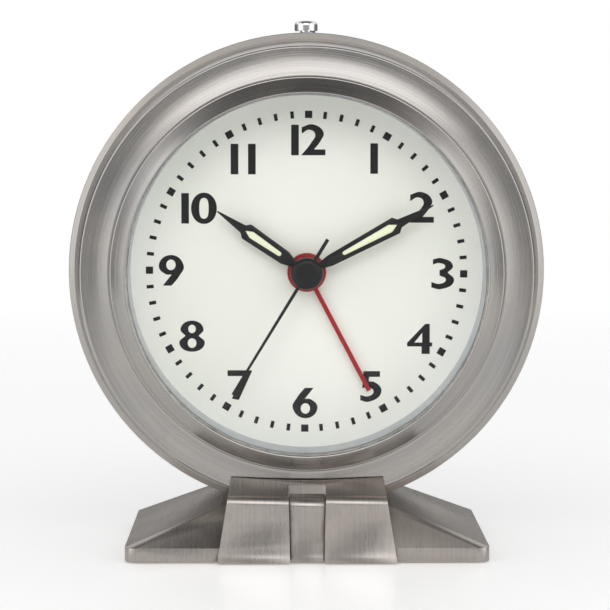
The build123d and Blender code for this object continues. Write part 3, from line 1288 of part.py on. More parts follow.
STANDING_PIECES = {
    "case_drum": case_drum,
    "pedestal_cradle": pedestal_cradle,
    "pedestal_center_strip": pedestal_center_strip,
    "base_casting": base_casting,
    "base_plate": base_plate,
    "base_pad": base_pad,
    "base_screws": base_screws,
    "case_bolts": case_bolts,
    "case_nuts": case_nuts,
    "button_bush": button_bush,
    "alarm_button": alarm_button,
    "button_spring": button_spring,
    "snooze_switch": snooze_switch,
}

os.makedirs("parts", exist_ok=True)
for name, make in CASE_PIECES.items():
    save(name, make(), CASE)
for name, make in STANDING_PIECES.items():
    save(name, make())
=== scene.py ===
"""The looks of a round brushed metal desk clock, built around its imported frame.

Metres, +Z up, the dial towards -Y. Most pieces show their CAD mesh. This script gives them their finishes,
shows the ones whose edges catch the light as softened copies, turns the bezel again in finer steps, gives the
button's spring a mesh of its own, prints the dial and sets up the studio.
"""

import json
import math

import bmesh
import bpy
from mathutils import Matrix, Vector

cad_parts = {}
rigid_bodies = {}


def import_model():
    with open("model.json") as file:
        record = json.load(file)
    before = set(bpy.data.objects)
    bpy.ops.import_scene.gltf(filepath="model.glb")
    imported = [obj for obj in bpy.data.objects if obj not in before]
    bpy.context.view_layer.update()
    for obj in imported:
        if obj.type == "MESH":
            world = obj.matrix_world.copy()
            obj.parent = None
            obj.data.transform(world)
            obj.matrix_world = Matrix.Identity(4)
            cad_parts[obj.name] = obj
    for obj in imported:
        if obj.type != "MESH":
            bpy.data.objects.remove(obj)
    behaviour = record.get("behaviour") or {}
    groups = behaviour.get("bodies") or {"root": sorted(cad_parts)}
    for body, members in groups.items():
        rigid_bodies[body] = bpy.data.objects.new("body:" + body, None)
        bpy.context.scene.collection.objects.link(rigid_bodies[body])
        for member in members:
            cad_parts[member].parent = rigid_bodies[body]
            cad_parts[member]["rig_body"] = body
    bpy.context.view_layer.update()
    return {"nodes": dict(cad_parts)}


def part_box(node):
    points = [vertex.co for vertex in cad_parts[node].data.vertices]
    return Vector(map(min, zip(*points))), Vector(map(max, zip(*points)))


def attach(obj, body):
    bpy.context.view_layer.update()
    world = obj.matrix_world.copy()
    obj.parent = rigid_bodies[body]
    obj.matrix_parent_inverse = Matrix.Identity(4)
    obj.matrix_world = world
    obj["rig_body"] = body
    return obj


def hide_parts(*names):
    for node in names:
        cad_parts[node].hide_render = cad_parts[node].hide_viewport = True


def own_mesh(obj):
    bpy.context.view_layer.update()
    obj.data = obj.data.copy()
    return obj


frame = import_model()
nodes = frame["nodes"]

MM = 0.001


# Places that the frame gives

def middle(node):
    low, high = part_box(node)
    return (low + high) / 2


DIAL_CENTRE = middle("dial_plate")
DIAL_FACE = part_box("dial_plate")[0].y


def new_object(name, data):
    """An object in the scene's collection."""
    made = bpy.data.objects.new(name, data)
    bpy.context.scene.collection.objects.link(made)
    return made


# Camera

CAMERA_PLACE = Vector((-5.6, -574.7, 104.3)) * MM
CAMERA_PITCH = math.radians(-4.33)
CAMERA_TURN = math.radians(0.53)
CAMERA_LENS = 134.0
CAMERA_REACH = 20


def camera():
    """The camera, level with the dial's twelve and tipped a little down."""
    data = bpy.data.cameras.new("camera")
    data.lens = CAMERA_LENS
    data.clip_end = CAMERA_REACH
    seen = new_object("camera", data)
    seen.location = CAMERA_PLACE
    ahead = Vector((math.sin(CAMERA_TURN), math.cos(CAMERA_TURN), 0)) * math.cos(CAMERA_PITCH)
    ahead.z = math.sin(CAMERA_PITCH)
    seen.rotation_euler = ahead.to_track_quat("-Z", "Y").to_euler()
    bpy.context.scene.camera = seen


# Shader graphs

# The sockets of a mix node, whose names are shared between its kinds of data.
COLOUR_MIX = {"factor": 0, "first": 6, "second": 7, "result": 2}
VALUE_MIX = {"factor": 0, "first": 2, "second": 3, "result": 0}

# Most of a noise texture's values lie between these two.
NOISE_RANGE = (0.3, 0.7)


def feed(tree, socket, value):
    """Sets an input, or links it where the value is another node's socket."""
    if isinstance(value, bpy.types.NodeSocket):
        tree.links.new(value, socket)
    else:
        socket.default_value = value


def add(tree, kind, inputs=None, **settings):
    """One shader node, with its settings and then its inputs."""
    made = tree.nodes.new(kind)
    for name, value in settings.items():
        setattr(made, name, value)
    for name, value in (inputs or {}).items():
        feed(tree, made.inputs[name], value)
    return made


def math_node(tree, operation, *values):
    made = add(tree, "ShaderNodeMath", operation=operation)
    for socket, value in zip(made.inputs, values):
        feed(tree, socket, value)
    return made.outputs[0]


def vector_math(tree, operation, *values, result="Vector"):
    made = add(tree, "ShaderNodeVectorMath", operation=operation)
    for socket, value in zip(made.inputs, values):
        feed(tree, socket, value)
    return made.outputs[result]


def noise(tree, vector, scale=1.0, detail=2.0, roughness=0.5):
    """A noise texture. Its scale is in features for each unit of the vector, mostly a millimetre."""
    inputs = {"Vector": vector, "Scale": scale, "Detail": detail, "Roughness": roughness}
    return add(tree, "ShaderNodeTexNoise", inputs).outputs["Fac"]


def wave(tree, vector, direction, **settings):
    """Soft bands across one direction. The settings are the node's inputs, in lower case."""
    inputs = {"Vector": vector} | {name.capitalize(): value for name, value in settings.items()}
    return add(tree, "ShaderNodeTexWave", inputs, bands_direction=direction).outputs["Fac"]


def ramp(tree, value, low, high, start=0.0, end=1.0):
    """The value, stretched from start..end to low..high."""
    inputs = {"Value": value, "From Min": start, "From Max": end, "To Min": low, "To Max": high}
    return add(tree, "ShaderNodeMapRange", inputs).outputs["Result"]


def from_noise(tree, value, low=0, high=1):
    """Low to high, over the range that a noise texture's values mostly take."""
    return ramp(tree, value, low, high, *NOISE_RANGE)


def mixed(tree, factor, first, second):
    """A colour between first and second."""
    inputs = {COLOUR_MIX["factor"]: factor, COLOUR_MIX["first"]: first, COLOUR_MIX["second"]: second}
    return add(tree, "ShaderNodeMix", inputs, data_type="RGBA").outputs[COLOUR_MIX["result"]]


def blended(tree, factor, first, second):
    """A value between first and second."""
    inputs = {VALUE_MIX["factor"]: factor, VALUE_MIX["first"]: first, VALUE_MIX["second"]: second}
    return add(tree, "ShaderNodeMix", inputs).outputs[VALUE_MIX["result"]]


def bump(tree, height, depth, strength, normal=None):
    """A surface normal, tilted as if the height stood the depth out of it, in millimetres."""
    inputs = {"Height": height, "Distance": depth * MM, "Strength": strength}
    if normal is not None:
        inputs["Normal"] = normal
    return add(tree, "ShaderNodeBump", inputs).outputs["Normal"]


def colour(red, green, blue):
    """A linear colour from one given as it looks on a screen, 0 to 255."""
    def linear(value):
        value /= 255
        return value / 12.92 if value <= 0.04045 else ((value + 0.055) / 1.055) ** 2.4
    return (linear(red), linear(green), linear(blue), 1.0)


def grey(level):
    """A neutral colour of this linear brightness."""
    return (level, level, level, 1)


def tinted(base, red, green, blue):
    """A colour with each of its parts multiplied."""
    return (base[0] * red, base[1] * green, base[2] * blue, 1)


def shaded(base, share):
    return tinted(base, share, share, share)


def new_material(name):
    made = bpy.data.materials.new(name)
    made.use_nodes = True
    made.node_tree.nodes.clear()
    return made, made.node_tree


def output(tree, shader):
    add(tree, "ShaderNodeOutputMaterial", {"Surface": shader.outputs[0]})


def surface(tree, inputs):
    """Ends a material's graph in one principled surface."""
    output(tree, add(tree, "ShaderNodeBsdfPrincipled", inputs))


def object_mm(tree):
    """The place on the object, in millimetres."""
    place = add(tree, "ShaderNodeTexCoord").outputs["Object"]
    return scaled(tree, place, 1000, 1000, 1000)


def scaled(tree, vector, x, y, z):
    return vector_math(tree, "MULTIPLY", vector, (x, y, z))


def evenly(tree, vector, share):
    return scaled(tree, vector, share, share, share)


# Brush lines: coordinates in which a noise texture of scale 1 draws them

TURNED_ALONG = 2.5           # how often a line ends, round the hands' axis
TURNED_ACROSS = 7.0          # lines for each millimetre of radius
TURNED_DEEP = 0.7            # the same along the axis, as a share of that
UPRIGHT_LINES = (9.0, 0.4, 0.35)


def round_the_axis(tree, place):
    """Distance from the hands' axis, distance along it, and the direction round it as two parts."""
    centred = vector_math(tree, "SUBTRACT", place, (DIAL_CENTRE.x / MM, 0, DIAL_CENTRE.z / MM))
    parts = add(tree, "ShaderNodeSeparateXYZ", {0: centred}).outputs
    flat = add(tree, "ShaderNodeCombineXYZ", {"X": parts["X"], "Z": parts["Z"]}).outputs[0]
    radius = vector_math(tree, "LENGTH", flat, result="Value")
    around = add(tree, "ShaderNodeSeparateXYZ", {0: vector_math(tree, "NORMALIZE", flat)}).outputs
    return radius, parts["Y"], around["X"], around["Z"]


def turned_lines(tree, place):
    """Lines that run round the hands' axis."""
    radius, depth, around_x, around_z = round_the_axis(tree, place)
    outwards = math_node(tree, "MULTIPLY", radius, TURNED_ACROSS)
    backwards = math_node(tree, "MULTIPLY", depth, TURNED_ACROSS * TURNED_DEEP)
    parts = {
        "X": math_node(tree, "MULTIPLY", around_x, TURNED_ALONG),
        "Y": math_node(tree, "ADD", outwards, backwards),
        "Z": math_node(tree, "MULTIPLY", around_z, TURNED_ALONG),
    }
    return add(tree, "ShaderNodeCombineXYZ", parts).outputs[0]


def upright_lines(tree, place):
    return scaled(tree, place, *UPRIGHT_LINES)


# Materials

LINE_DEPTH = 0.004
BROAD_STREAKS = 0.18         # frequency of the broad streaks, as a share of the fine lines'
SCRATCH_LINES = (0.6, 2.2, 0.6)

# Between which of a noise texture's values each of these marks comes in.
SCRATCH_CUT = (0.70, 0.78)
DUST_CUT = (0.72, 0.80)
HAZE_CUT = (0.35, 0.70)
SMEAR_CUT = (0.40, 0.80)
DRIFT_CUT = (0.35, 0.65)


def brushed_metal(
    name, base, lines, roughness=0.3, anisotropy=0.6, streaks=0.12, tangent="Y", turned_highlight=0.25
):
    """Satin metal with fine lines from a brushing wheel, a few deeper scratches and soft handling marks."""
    made, tree = new_material(name)
    place = object_mm(tree)
    brushed = lines(tree, place)
    fine = noise(tree, brushed, detail=4.0, roughness=0.7)
    broad = noise(tree, evenly(tree, brushed, BROAD_STREAKS))
    cloud = noise(tree, place, scale=0.05, detail=3.0)
    scratch = ramp(tree, noise(tree, scaled(tree, brushed, *SCRATCH_LINES), detail=0.0), 0, 1, *SCRATCH_CUT)

    fine_tone = from_noise(tree, fine, 1 - streaks, 1 + streaks)
    tone = math_node(tree, "ADD", fine_tone, from_noise(tree, broad, -streaks / 2, streaks / 2))
    tone = math_node(tree, "MULTIPLY", tone, from_noise(tree, cloud, 0.95, 1.05))
    tint = mixed(tree, from_noise(tree, cloud), base, tinted(base, 1.03, 0.99, 0.95))
    tones = add(tree, "ShaderNodeCombineXYZ", {"X": tone, "Y": tone, "Z": tone}).outputs[0]
    fine_rough = from_noise(tree, fine, roughness - 0.05, roughness + 0.05)
    normal = bump(tree, fine, LINE_DEPTH, strength=0.6)
    surface(
        tree,
        {
            "Base Color": vector_math(tree, "MULTIPLY", tint, tones),
            "Metallic": 1.0,
            "Roughness": math_node(tree, "ADD", fine_rough, from_noise(tree, cloud, -0.03, 0.04)),
            "Anisotropic": anisotropy,
            "Anisotropic Rotation": turned_highlight,
            "Tangent": add(tree, "ShaderNodeTangent", direction_type="RADIAL", axis=tangent).outputs[0],
            "Normal": bump(tree, scratch, -2 * LINE_DEPTH, strength=0.5, normal=normal),
        },
    )
    return made


def polished_metal(name, base, roughness=0.08):
    """Plated metal: near mirror, with faint polishing swirls and a little haze."""
    made, tree = new_material(name)
    place = object_mm(tree)
    swirl = noise(tree, place, scale=3.0, detail=4.0)
    haze = noise(tree, place, scale=0.6)
    surface(
        tree,
        {
            "Base Color": mixed(tree, from_noise(tree, swirl), base, shaded(base, 0.9)),
            "Metallic": 1.0,
            "Roughness": ramp(tree, haze, roughness, roughness + 0.08, *HAZE_CUT),
            "Normal": bump(tree, swirl, 0.001, strength=0.5),
        },
    )
    return made


def moulded(name, base, roughness=0.45, grain=14.0, depth=0.012, tone=0.12):
    """Moulded plastic or rubber: an even eroded texture, with a slow change of gloss."""
    made, tree = new_material(name)
    place = object_mm(tree)
    texture = noise(tree, place, scale=grain, detail=3.0, roughness=0.6)
    flow = noise(tree, place, scale=0.12)
    texture_rough = from_noise(tree, texture, roughness - 0.04, roughness + 0.06)
    darker, lighter = shaded(base, 1 - tone), shaded(base, 1 + tone)
    surface(
        tree,
        {
            "Base Color": mixed(tree, from_noise(tree, texture), darker, lighter),
            "Roughness": math_node(tree, "ADD", texture_rough, from_noise(tree, flow, -0.05, 0.05)),
            "Normal": bump(tree, texture, depth, strength=0.7),
        },
    )
    return made


SPECK = (0.55, 0.55, 0.5, 1)
SPECK_SHARE = 0.06


def painted_dial(name, base):
    """Cream lacquer on the dial: very fine tooth, and a breath of tone from one side to the other."""
    made, tree = new_material(name)
    place = object_mm(tree)
    tooth = noise(tree, place, scale=18.0)
    drift = noise(tree, place, scale=0.03, detail=1.0)
    tone = mixed(tree, ramp(tree, drift, 0, 1, *DRIFT_CUT), base, tinted(base, 0.97, 0.98, 0.95))
    surface(
        tree,
        {
            "Base Color": mixed(tree, from_noise(tree, tooth, 0, SPECK_SHARE), tone, SPECK),
            "Roughness": from_noise(tree, tooth, 0.5, 0.62),
            "Specular IOR Level": 0.3,
            "Normal": bump(tree, tooth, 0.006, strength=0.4),
        },
    )
    return made


DUST = grey(0.5)
DUST_SHARE = 0.12


def lacquer(name, base, roughness=0.32):
    """Stoved paint on stamped sheet, such as a hand: slightly uneven, with fine dust in it."""
    made, tree = new_material(name)
    place = object_mm(tree)
    orange_peel = noise(tree, place, scale=5.0, detail=3.0)
    dust = ramp(tree, noise(tree, place, scale=30.0, detail=0.0), 0, DUST_SHARE, *DUST_CUT)
    tone = mixed(tree, from_noise(tree, orange_peel), base, shaded(base, 0.82))
    surface(
        tree,
        {
            "Base Color": mixed(tree, dust, tone, DUST),
            "Roughness": from_noise(tree, orange_peel, roughness - 0.04, roughness + 0.08),
            "Specular IOR Level": 0.3,
            "Normal": bump(tree, orange_peel, 0.006, strength=0.5),
        },
    )
    return made


def luminous(name, base):
    """Luminous paint: pale, chalky and a little granular."""
    made, tree = new_material(name)
    grains = noise(tree, object_mm(tree), scale=9.0, detail=3.0, roughness=0.7)
    surface(
        tree,
        {
            "Base Color": mixed(tree, from_noise(tree, grains), base, tinted(base, 0.9, 0.93, 0.8)),
            "Roughness": 0.8,
            "Specular IOR Level": 0.2,
            "Normal": bump(tree, grains, 0.03, strength=0.7),
        },
    )
    return made


GLASS_TINT = (0.985, 0.99, 0.985, 1)
GLASS_IOR = 1.45
GLASS_GLOSS = 0.25           # share of real glass's reflection that is kept, so that the dial shows
SMEAR_STRETCH = (0.05, 0.05, 0.12)


def clear_glass(name):
    """Flat mineral glass that lets the dial show, with its own gloss and a trace of dust."""
    made, tree = new_material(name)
    smear = noise(tree, scaled(tree, object_mm(tree), *SMEAR_STRETCH), detail=3.0)
    clear = add(tree, "ShaderNodeBsdfTransparent", {"Color": GLASS_TINT})
    rough = ramp(tree, smear, 0.0, 0.06, *SMEAR_CUT)
    gloss = add(tree, "ShaderNodeBsdfGlossy", {"Color": grey(1), "Roughness": rough})
    fresnel = add(tree, "ShaderNodeFresnel", {"IOR": GLASS_IOR}).outputs[0]
    share = math_node(tree, "MULTIPLY", fresnel, GLASS_GLOSS)
    output(tree, add(tree, "ShaderNodeMixShader", {0: share, 1: clear.outputs[0], 2: gloss.outputs[0]}))
    return made


def wound_wire(name, base):
    """Enamelled copper wire in close turns along the bobbin, with painted shade in the grooves between the
    turns.
    """
    made, tree = new_material(name)
    turns = wave(tree, object_mm(tree), "X", scale=1.6, distortion=0.6, detail=2.0)
    surface(
        tree,
        {
            # painted shade: the colour falls to half its brightness in the grooves between the turns, where
            # the bump is lowest
            "Base Color": mixed(tree, turns, shaded(base, 0.5), base),
            "Metallic": 0.9,
            "Roughness": ramp(tree, turns, 0.45, 0.25),
            "Normal": bump(tree, turns, 0.08, strength=0.8),
        },
    )
    return made


def circuit(name, base):
    """Green resist over glass cloth, with the weave just showing."""
    made, tree = new_material(name)
    place = object_mm(tree)
    warp, weft = (wave(tree, place, direction, scale=1.2, distortion=0.2) for direction in "XZ")
    weave = math_node(tree, "MULTIPLY", warp, weft)
    surface(
        tree,
        {
            "Base Color": mixed(tree, weave, base, shaded(base, 1.5)),
            "Roughness": ramp(tree, weave, 0.3, 0.45),
            "Coat Weight": 0.3,
            "Normal": bump(tree, weave, 0.01, strength=0.5),
        },
    )
    return made


def nickels():
    """The clock's brushed metals: the bezel, the rim and drum, the foot, and the ring round the dial."""
    return {
        "brushed_nickel": brushed_metal(
            "turned_nickel", colour(153, 151, 149), turned_lines, roughness=0.24, anisotropy=0.4, streaks=0.10
        ),
        "rim_nickel": brushed_metal(
            "rim_nickel", colour(163, 160, 157), turned_lines, roughness=0.38, anisotropy=0.7, streaks=0.07
        ),
        "foot_nickel": brushed_metal(
            "foot_nickel", colour(158, 153, 149), upright_lines, tangent="Z", turned_highlight=0.0
        ),
        "wall_ring": brushed_metal(
            "wall_ring", colour(196, 200, 208), turned_lines, roughness=0.42, anisotropy=0.2, streaks=0.05
        ),
    }


def finishes():
    """One material for each of the record's material slots, and the rim's own."""
    gear_look = {"roughness": 0.35, "grain": 6.0, "depth": 0.005, "tone": 0.03}
    wrap_look = {"roughness": 0.3, "grain": 4.0, "depth": 0.004}
    return nickels() | {
        "chrome": polished_metal("chrome", colour(212, 212, 214)),
        "crystal": clear_glass("crystal"),
        "dial_cream": painted_dial("dial_cream", colour(248, 247, 241)),
        "hand_black": lacquer("hand_black", colour(16, 16, 18)),
        "hand_red": lacquer("hand_red", colour(168, 22, 34)),
        "lume": luminous("lume", colour(250, 249, 226)),
        "black_plastic": moulded("black_plastic", colour(34, 34, 36)),
        "movement_plastic": moulded("movement_plastic", colour(52, 54, 58), roughness=0.5),
        "gear_plastic": moulded("gear_plastic", colour(226, 224, 214), **gear_look),
        "brass": polished_metal("brass", colour(212, 176, 96), roughness=0.2),
        "steel": polished_metal("steel", colour(178, 180, 184), roughness=0.22),
        "iron": brushed_metal("iron", colour(120, 120, 122), upright_lines, roughness=0.45, anisotropy=0.1),
        "copper_wire": wound_wire("copper_wire", colour(190, 104, 58)),
        "board": circuit("board", colour(28, 84, 52)),
        "rubber": moulded("rubber", colour(30, 30, 30), roughness=0.75, grain=8.0, depth=0.03),
        "cell_wrap": moulded("cell_wrap", colour(58, 62, 70), **wrap_look),
    }


OWN_FINISH = {"case_drum": "rim_nickel"}


def dress(made):
    """Every CAD node takes the finish of its material slot, or its own where OWN_FINISH names one."""
    for name, node in nodes.items():
        slot = node.data.materials[0].name
        node.data.materials[0] = made[OWN_FINISH.get(name, slot)]


# Softened edges

WELD = 0.0005 * MM
FLAT_ANGLE = math.radians(0.3)
SHARP_ANGLE = math.radians(28)
EDGE_STEPS = 2
# How far each of these nodes' sharp edges are rounded, in millimetres.
EDGE_ROUNDS = {
    "base_casting": 0.22,
    "pedestal_cradle": 0.22,
    "pedestal_center_strip": 0.12,
    "button_bush": 0.12,
    "battery_door": 0.15,
    "alarm_switch_slider": 0.1,
    "hour_hand": 0.05,
    "minute_hand": 0.05,
    "seconds_hand": 0.04,
    "alarm_hand": 0.05,
    "hour_hand_lume": 0.03,
    "minute_hand_lume": 0.03,
}


def soften(name, width, body):
    """A copy of a node with its sharp edges rounded, which is shown in the node's place."""
    node = nodes[name]
    whole = bmesh.new()
    whole.from_mesh(node.data)
    bmesh.ops.remove_doubles(whole, verts=whole.verts, dist=WELD)
    bmesh.ops.dissolve_limit(
        whole, angle_limit=FLAT_ANGLE, verts=whole.verts, edges=whole.edges, use_dissolve_boundaries=False
    )
    data = bpy.data.meshes.new(name + "_soft")
    whole.to_mesh(data)
    whole.free()
    data.materials.append(node.data.materials[0])
    data.shade_smooth()
    rough = new_object(name + "_soft", data)
    bevel = rough.modifiers.new("round", "BEVEL")
    bevel.width = width * MM
    bevel.segments = EDGE_STEPS
    bevel.limit_method = "ANGLE"
    bevel.angle_limit = SHARP_ANGLE
    bevel.harden_normals = True
    bevel.use_clamp_overlap = True
    bpy.context.view_layer.update()
    finer = bpy.data.meshes.new_from_object(rough.evaluated_get(bpy.context.evaluated_depsgraph_get()))
    finer.name = name + "_soft"
    rough.modifiers.clear()
    rough.data = finer
    bpy.data.meshes.remove(data)
    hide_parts(name)
    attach(rough, body)


# The bezel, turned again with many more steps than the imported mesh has

TURNED_STEPS = 288
COVE_STEPS = 16
RING_STEPS = 8
CORNER_STEPS = 6

# Its radii from the hands' axis, in millimetres.
FOOT_RADIUS = 56.9
LIP_RADIUS = 55.2
COVE_RADIUS = 48.3
RING_RADIUS = 48.0
OPENING_RADIUS = 43.7
CRYSTAL_BORE = 45.65
DIAL_BORE = 47.05
CAVITY_INNER = 49.05
CAVITY_OUTER = 53.2

# How far its levels lie in front of the case's origin, in millimetres.
BEZEL_BACK = 13.0
DIAL_CLAMP = 14.6
CAVITY_FLOOR = 21.0
LIP_FRONT = 24.2
COVE_FRONT = 25.4
RING_EDGE = 25.9
CRYSTAL_FRONT = 26.0
BEZEL_FRONT = 29.0

# Its roundings, in millimetres, and how far each rounded stretch stands out from its chord.
CORNER = 0.45
CORNER_BULGE = 0.127
LIP_BULGE = 0.162
RING_BULGE = 0.09
COVE_SAG = 0.3

# Its outline as (radius, level, how far the stretch up to the next point bulges, how many steps that takes)
BEZEL_OUTLINE = (
    (FOOT_RADIUS, BEZEL_BACK, 0, 1),
    (LIP_RADIUS + CORNER / 2, LIP_FRONT - CORNER, LIP_BULGE, CORNER_STEPS),
    (LIP_RADIUS - CORNER, LIP_FRONT, -COVE_SAG, COVE_STEPS),
    (COVE_RADIUS, COVE_FRONT, 0, 1),
    (RING_RADIUS, COVE_FRONT, 0, 1),
    (RING_RADIUS, RING_EDGE - CORNER, CORNER_BULGE, CORNER_STEPS),
    (RING_RADIUS - CORNER, RING_EDGE, RING_BULGE, RING_STEPS),
    (OPENING_RADIUS + CORNER, BEZEL_FRONT, CORNER_BULGE, CORNER_STEPS),
    (OPENING_RADIUS, BEZEL_FRONT - CORNER, 0, 1),
    (OPENING_RADIUS, CRYSTAL_FRONT, 0, 1),
    (CRYSTAL_BORE, CRYSTAL_FRONT, 0, 1),
    (CRYSTAL_BORE, DIAL_CLAMP, 0, 1),
    (DIAL_BORE, DIAL_CLAMP, 0, 1),
    (DIAL_BORE, BEZEL_BACK, 0, 1),
    (CAVITY_INNER, BEZEL_BACK, 0, 1),
    (CAVITY_INNER, CAVITY_FLOOR, 0, 1),
    (CAVITY_OUTER, CAVITY_FLOOR, 0, 1),
    (CAVITY_OUTER, BEZEL_BACK, 0, 1),
)


def stretched(outline):
    """The outline's points, with each bulging stretch cut into short steps along a parabola."""
    points = []
    for (radius, level, bulge, steps), after in zip(outline, outline[1:] + outline[:1]):
        outwards, forwards = after[0] - radius, after[1] - level
        for step in range(steps):
            share = step / steps
            out = 4 * share * (1 - share) * bulge / math.hypot(outwards, forwards)
            place = radius + share * outwards + out * forwards, level + share * forwards - out * outwards
            points.append(place)
    return points


def turned_mesh(name, outline):
    """An outline turned all the way round the hands' axis."""
    points, faces = [], []
    count = len(outline)
    for step in range(TURNED_STEPS):
        angle = 2 * math.pi * step / TURNED_STEPS
        for radius, level in outline:
            across, up = radius * MM * math.sin(angle), radius * MM * math.cos(angle)
            points.append((DIAL_CENTRE.x + across, -level * MM, DIAL_CENTRE.z + up))
        here, there = step * count, (step + 1) % TURNED_STEPS * count
        for ring in range(count):
            after = (ring + 1) % count
            faces.append((here + ring, here + after, there + after, there + ring))
    data = bpy.data.meshes.new(name)
    data.from_pydata(points, [], faces)
    whole = bmesh.new()
    whole.from_mesh(data)
    bmesh.ops.recalc_face_normals(whole, faces=whole.faces)
    whole.to_mesh(data)
    whole.free()
    return data


def turn_bezel():
    """The bezel as a smooth solid of revolution."""
    data = turned_mesh("bezel_turned", stretched(BEZEL_OUTLINE))
    data.shade_smooth()
    data.set_sharp_from_angle(angle=SHARP_ANGLE)
    data.materials.append(nodes["bezel_ring"].data.materials[0])
    piece = new_object("bezel_turned", data)
    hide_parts("bezel_ring")
    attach(piece, "root")


def springy():
    """The button's spring as a copy with a mesh of its own, shown in the spring node's place."""
    piece = new_object("button_spring_coil", nodes["button_spring"].data.copy())
    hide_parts("button_spring")
    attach(piece, "root")
    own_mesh(piece)


# Dial print: raised ink on the dial, under the hands

INK_HEIGHT = 0.04 * MM
INK_WELD = 0.001 * MM
CURVE_STEPS = 10
TRACK_RADIUS = 38.9 * MM
MINUTE_MARK = (0.87 * MM, 1.75 * MM)
HOUR_MARK = (1.8 * MM, 1.8 * MM)
DIAL_TURN = math.radians(0.7)
NUMERAL_HEIGHT = 7.5 * MM
NUMERAL_RADIUS = 32.6 * MM
# How far these hours stand outside the others' circle.
NUMERAL_SHIFT = {3: 1.1 * MM, 9: 0.9 * MM, 10: -1.7 * MM, 11: -0.6 * MM}
# Space between an hour's two digits, in units of their height.
LETTER_GAP = {10: 0.07, 11: 0.32, 12: 0.075}

# The two kinds of point on a contour
SHARP, SMOOTH = "VECTOR", "AUTO"


def oval(x, y, half_width, half_height):
    """A closed smooth contour of four points."""
    steps = ((1, 0), (0, 1), (-1, 0), (0, -1))
    return [(x + a * half_width, y + b * half_height, SMOOTH) for a, b in steps]


def angular(*points):
    return [(x, y, SHARP) for x, y in points]


def half_turned(contours, width):
    """A digit turned upside down, as a 6 makes a 9."""
    return [[(width - x, 1 - y, handle) for x, y, handle in contour] for contour in contours]


SIX = [
    angular((0.40, 1.0), (0.69, 1.0), (0.40, 0.635))
    + [(0.60, 0.62, SMOOTH), (0.82, 0.325, SMOOTH), (0.42, -0.01, SMOOTH)]
    + [(0.0, 0.34, SMOOTH), (0.13, 0.66, SMOOTH)],
    oval(0.42, 0.315, 0.155, 0.175),
]

# Each digit is its width and its contours, in units of its height: the outside first, then any holes.
DIGITS = {
    "0": (0.85, [oval(0.425, 0.5, 0.425, 0.515), oval(0.425, 0.5, 0.155, 0.345)]),
    "1": (0.25, [angular((0, 0), (0.25, 0), (0.25, 1), (0, 1))]),
    "2": (
        0.80,
        [
            angular((0, 0), (0.80, 0), (0.80, 0.19), (0.43, 0.19))
            + [(0.66, 0.50, SMOOTH), (0.74, 0.74, SMOOTH), (0.39, 1.01, SMOOTH)]
            + angular((0.02, 0.92), (0.02, 0.71))
            + [(0.28, 0.835, SMOOTH), (0.46, 0.70, SMOOTH), (0.34, 0.42, SMOOTH)]
        ],
    ),
    "3": (
        0.75,
        [
            angular((0.05, 0.97))
            + [(0.33, 1.01, SMOOTH), (0.71, 0.76, SMOOTH)]
            + angular((0.54, 0.535))
            + [(0.75, 0.27, SMOOTH), (0.33, -0.01, SMOOTH)]
            + angular((0, 0.04), (0, 0.22))
            + [(0.30, 0.165, SMOOTH), (0.48, 0.30, SMOOTH)]
            + angular((0.27, 0.44), (0.27, 0.61))
            + [(0.455, 0.735, SMOOTH), (0.26, 0.85, SMOOTH)]
            + angular((0.05, 0.80))
        ],
    ),
    "4": (
        0.83,
        [
            angular((0.60, 1), (0.75, 1), (0.75, 0.38), (0.83, 0.38), (0.83, 0.25), (0.75, 0.25))
            + angular((0.75, 0), (0.48, 0), (0.48, 0.25), (0, 0.25), (0, 0.37)),
            angular((0.50, 0.70), (0.50, 0.38), (0.24, 0.38)),
        ],
    ),
    "5": (
        0.70,
        [
            angular((0.10, 1), (0.65, 1), (0.65, 0.81), (0.29, 0.81), (0.28, 0.655))
            + [(0.46, 0.64, SMOOTH), (0.70, 0.33, SMOOTH), (0.28, -0.02, SMOOTH)]
            + angular((0, 0.03), (0, 0.21))
            + [(0.26, 0.165, SMOOTH), (0.44, 0.32, SMOOTH), (0.26, 0.465, SMOOTH)]
            + angular((0.07, 0.44))
        ],
    ),
    "6": (0.82, SIX),
    "7": (
        0.80,
        [
            angular((0, 0.98), (0.80, 0.98), (0.80, 0.93), (0.37, -0.01))
            + angular((0.14, 0.04), (0.50, 0.79), (0, 0.79))
        ],
    ),
    "8": (
        0.84,
        [
            [(0.42, 1.02, SMOOTH), (0.80, 0.75, SMOOTH)]
            + angular((0.64, 0.52))
            + [(0.84, 0.27, SMOOTH), (0.42, -0.01, SMOOTH), (0.0, 0.27, SMOOTH)]
            + angular((0.20, 0.52))
            + [(0.04, 0.75, SMOOTH)],
            oval(0.42, 0.745, 0.125, 0.14),
            oval(0.42, 0.275, 0.145, 0.16),
        ],
    ),
    "9": (0.82, half_turned(SIX, 0.82)),
}


def on_dial(radius, angle):
    """A place on the dial's face, its angle clockwise from twelve."""
    turned = angle + DIAL_TURN
    outwards = Vector((radius * math.sin(turned), 0, radius * math.cos(turned)))
    return outwards + Vector((DIAL_CENTRE.x, DIAL_FACE, DIAL_CENTRE.z))


